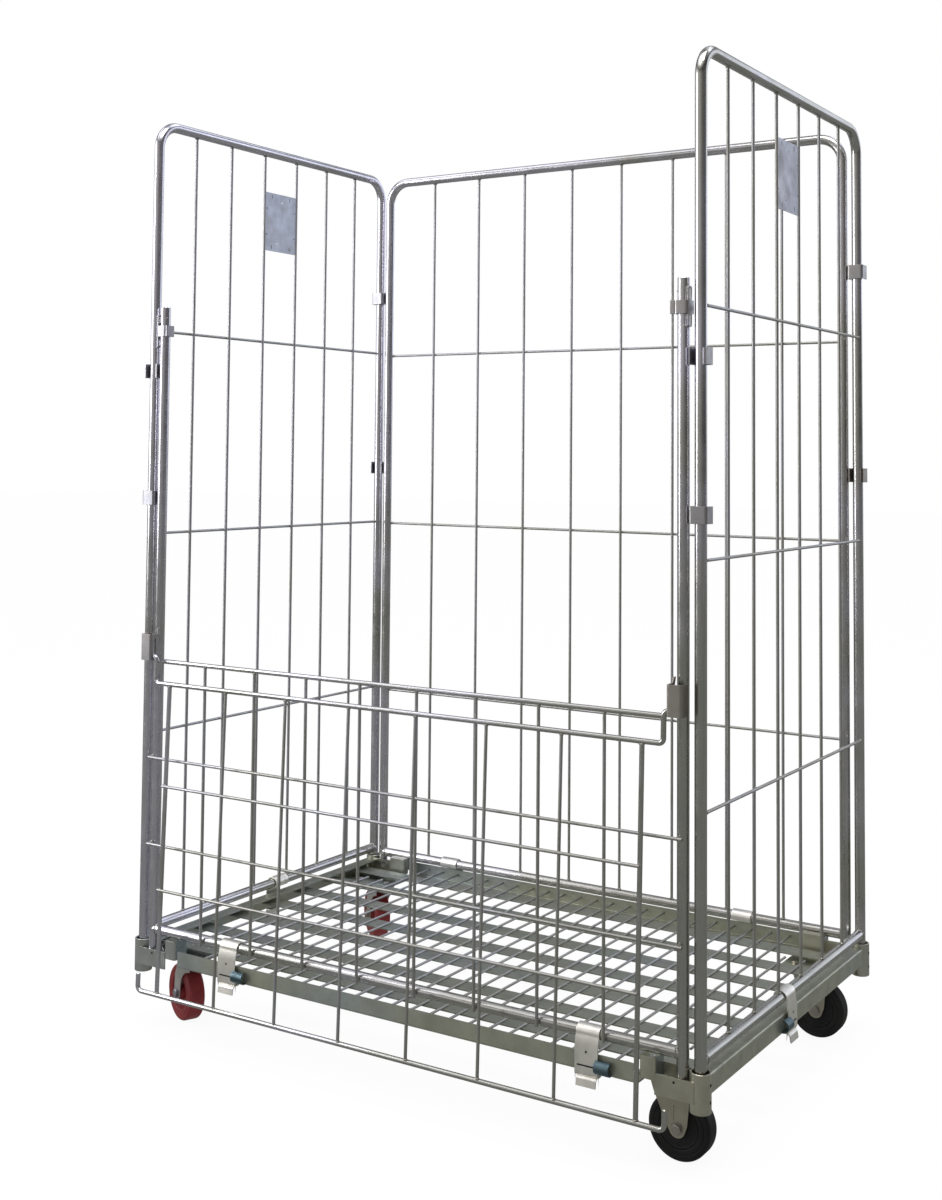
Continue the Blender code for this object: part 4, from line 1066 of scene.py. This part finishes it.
def hinge_clip(end, side, level, sign_x, sign_y):
    """U-shaped clip round a side panel's post, with a lug to the next panel's post."""
    node = "clip_" + end + "_" + side + "_" + level
    low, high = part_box(node)
    x = sign_x * SIDE_X
    y = sign_y * SIDE_Y
    half = 0.0147
    wall_y = 0.0135
    opens_out = level == "upper"
    wall = sign_y * (-wall_y if opens_out else wall_y)
    tip = sign_y * (wall_y if opens_out else -0.011)
    path = [(x - half, y + tip), (x - half, y + wall), (x + half, y + wall), (x + half, y + tip)]
    lug_low = low.z + 0.005
    lug_top = low.z + 0.023
    form = Form()
    form.sheet([bent_sheet(path, 0.0024, 0.0040)], "Z", low.z, high.z, rim=0.0006)
    form.block((sign_x * (GATE_X + TUBE_R + 0.0003), y - 0.004, lug_low),
               (x - sign_x * (half - 0.001), y + 0.004, lug_top), rim=0.0010)
    for z in (lug_low, lug_top):
        form.lump((sign_x * (GATE_X + TUBE_R + 0.0012), y, z), (0.0020, 0.0040, 0.0018))
    form.piece("panel_" + node, [node], [PRESSED, WELD])


def latch_hook(name, face, drop, turn, hand=1):
    """Sheet hook over a low tube: strap with painted hole and slot shade, a bent lip, a curl in painted
    shade.
    """
    pivot = Vector(JOINTS[name + "_swing"]["pos_m"])
    thick = 0.0025
    radius = TUBE_R + 0.0005 + thick / 2
    out = -(face + 0.0035 + thick / 2)
    low = -(drop + 0.0035 + thick / 2)

    def width(start, end):
        return sorted((hand * start, hand * end))

    strap = arc(0, 0, radius, -40, 220, 24)
    strap += [(-radius - 0.0003, -0.004), (out, -0.020), (out, low + 0.004)]
    strap += arc(out + 0.004, low + 0.004, 0.004, 180, 90, 6)
    strap += [(-face + 0.0085, low)]
    lip = [(out + 0.003, low - 0.0005), (out - 0.002, low - 0.004), (out - 0.004, low - 0.016)]
    curl = arc(-(face + 0.0034), low + 0.018, 0.0102, 95, 190, 18)
    form = Form(Matrix.Translation(pivot) @ Matrix.Rotation(turn, 4, "Z"))
    form.sheet([bent_sheet(strap, thick)], "X", *width(-0.016, 0.026), rim=0.0006)
    form.sheet([bent_sheet(lip, 0.0022, 0.003)], "X", *width(-0.012, 0.024), rim=0.0005)
    # painted shade: the curl takes the dark copy of the hook's zinc
    form.sheet([bent_sheet(curl, 0.0022)], "X", *width(0.022, 0.0485), 2, 0.0005)
    # painted shade: a black bar for the strap's slot and a black ring for its hole
    start, end = width(-0.011, 0.021)
    form.block((start, out - 0.0016, low + 0.0150), (end, out - 0.0008, low + 0.0175), 3, 0.0002)
    mark = [(0.0004, 0.0), (0.0019, 0.0), (0.0019, 0.0005), (0.0004, 0.0005), (0.0004, 0.0)]
    surface = Matrix.Translation((hand * 0.005, out - thick / 2 + 0.0002, -0.027)) @ ALONG["Y"]
    form.turned(mark, surface, 16, 3)
    form.piece(name + "_hook", [name], [HOOK, WELD, CURL_PAINTED_SHADE, BLACK])


def hardware():
    for side, sign in SIGNS.items():
        pivot_bracket(side, sign)
        keeper(side, sign)
        for end, sign_y in (("front", -1), ("back", 1)):
            for level in ("upper", "lower"):
                hinge_clip(end, side, level, sign, sign_y)
    for side in SIGNS:
        latch_hook("latch_front_" + side, RAIL_Y + GATE_Y, GATE_LOW - RAIL_LOW, 0.0)
        latch_hook("latch_back_" + side, RAIL_Y - BACK_Y, BACK_LOW - RAIL_LOW, math.pi)
    latch_hook("latch_right", RAIL_X - SIDE_X, SIDE_LOW - RAIL_LOW, math.pi / 2, -1)
    latch_hook("latch_left", RAIL_X - SIDE_X, SIDE_LOW - RAIL_LOW, -math.pi / 2)


# -------------------- stage


def camera():
    """The photograph's view: close, from the front right, at chest height."""
    data = bpy.data.cameras.new("camera")
    data.sensor_width = 36.0
    data.lens = 46.59
    data.shift_x = 0.0251
    data.shift_y = -0.1939
    data.clip_end = 100.0
    made = placed("camera", data)
    tilt = Matrix.Rotation(0.0221, 4, "Y") @ Matrix.Rotation(0.0519, 4, "X")
    heading = Matrix.Rotation(0.5770, 4, "Z")
    level = Matrix.Rotation(math.pi / 2, 4, "X")
    made.matrix_world = Matrix.Translation((1.5914, -2.6756, 1.1282)) @ tilt @ heading @ level
    bpy.context.scene.camera = made


def floor():
    """Pale studio floor; it looks greyer in the metal's reflections than to the camera."""
    form = Form(Matrix())
    bmesh.ops.create_grid(form.shape, x_segments=1, y_segments=1, size=30)
    made = form.thing("floor")
    nodes = Nodes(bpy.data.materials.new("pale_floor"))
    nodes.put(nodes.shader, "Roughness", 0.9)
    nodes.put(nodes.shader, "Base Color", (0.93, 0.93, 0.93, 1))
    glow = nodes.add("Emission", Color=(1, 1, 1, 1), Strength=1.0)
    dim = nodes.add("Emission", Color=(0.36, 0.37, 0.35, 1), Strength=0.6)
    nodes.show(nodes.blend(0.93, nodes.shader, glow), dim)
    made.data.materials.append(nodes.owner)


def world():
    """A pale surround, with the room's bright and dark bands in what the metal reflects."""
    nodes = Nodes(bpy.data.worlds.new("studio"))
    bpy.context.scene.world = nodes.owner
    direction = nodes.add("TexCoord").outputs["Generated"]
    towards_camera = math.radians(-57.6)
    spin = nodes.add("VectorRotate", Vector=direction, Angle=-towards_camera)
    spin.rotation_type = "Z_AXIS"
    turned = nodes.add("SeparateXYZ", Vector=spin.outputs[0])
    angle = nodes.combine(turned.outputs["Y"], turned.outputs["X"], "ARCTAN2")
    around = [(-180, (0.24, 0.24, 0.25)), (-150, (0.20, 0.20, 0.21)), (-138, (0.60, 0.62, 0.65)),
              (-100, (1.20, 1.22, 1.27)), (-62, (0.72, 0.71, 0.69)), (-22, (0.46, 0.45, 0.42)),
              (4, (0.30, 0.29, 0.27)), (16, (0.15, 0.145, 0.14)), (72, (0.11, 0.11, 0.12)),
              (96, (0.22, 0.23, 0.25)), (108, (1.35, 1.42, 1.58)), (150, (0.85, 0.90, 0.98)),
              (180, (0.3, 0.3, 0.31))]
    levels = [(-1.0, 0.5), (-0.12, 0.45), (-0.03, 0.30), (0.06, 0.9), (0.34, 1.0), (0.46, 0.25), (0.60, 0.2),
              (0.68, 1.6), (0.86, 1.7), (0.93, 0.45), (1.0, 0.4)]
    walls = nodes.bands(nodes.ramp(angle, -math.pi, math.pi),
                        [(degrees / 360 + 0.5, colour) for degrees, colour in around])
    upward = nodes.add("SeparateXYZ", Vector=direction).outputs["Z"]
    heights = nodes.bands(nodes.ramp(upward, -1, 1), [(z / 2 + 0.5, (value,) * 3) for z, value in levels])
    clutter = nodes.ramp(nodes.noise(direction, 5.0, 2.0, 0.5), 0.3, 0.7, 0.55, 1.5)
    room = nodes.add("Background", Color=nodes.mix(1.0, walls, heights, "MULTIPLY"), Strength=clutter)
    pale = nodes.add("Background", Color=(1, 1, 1, 1), Strength=1.0)
    nodes.show(pale, room)


def softbox(name, place, aim, width, height, power):
    data = bpy.data.lights.new(name, "AREA")
    data.shape = "RECTANGLE"
    data.size = width
    data.size_y = height
    data.energy = power
    made = placed(name, data)
    made.location = place
    made.rotation_euler = (Vector(aim) - Vector(place)).to_track_quat("-Z", "Y").to_euler()


def stage():
    camera()
    floor()
    world()
    softbox("left_softbox", (-3.2, -2.6, 2.0), (0, 0, 0.9), 1.2, 2.6, 60)
    softbox("top_softbox", (0.6, -1.0, 4.2), (0, 0, 0.8), 2.4, 1.6, 70)
    bpy.context.scene.view_settings.view_transform = "Standard"


# -------------------- whole cage


def build():
    stage()
    for side, sign in SIGNS.items():
        side_panel(side, sign)
        label_plate(side, sign)
    back_panel()
    gate()
    leaf()
    base()
    for corner, (sign_x, sign_y) in CORNERS.items():
        corner_bracket(corner, sign_x, sign_y)
        castor(corner, sign_x)
    hardware()


build()
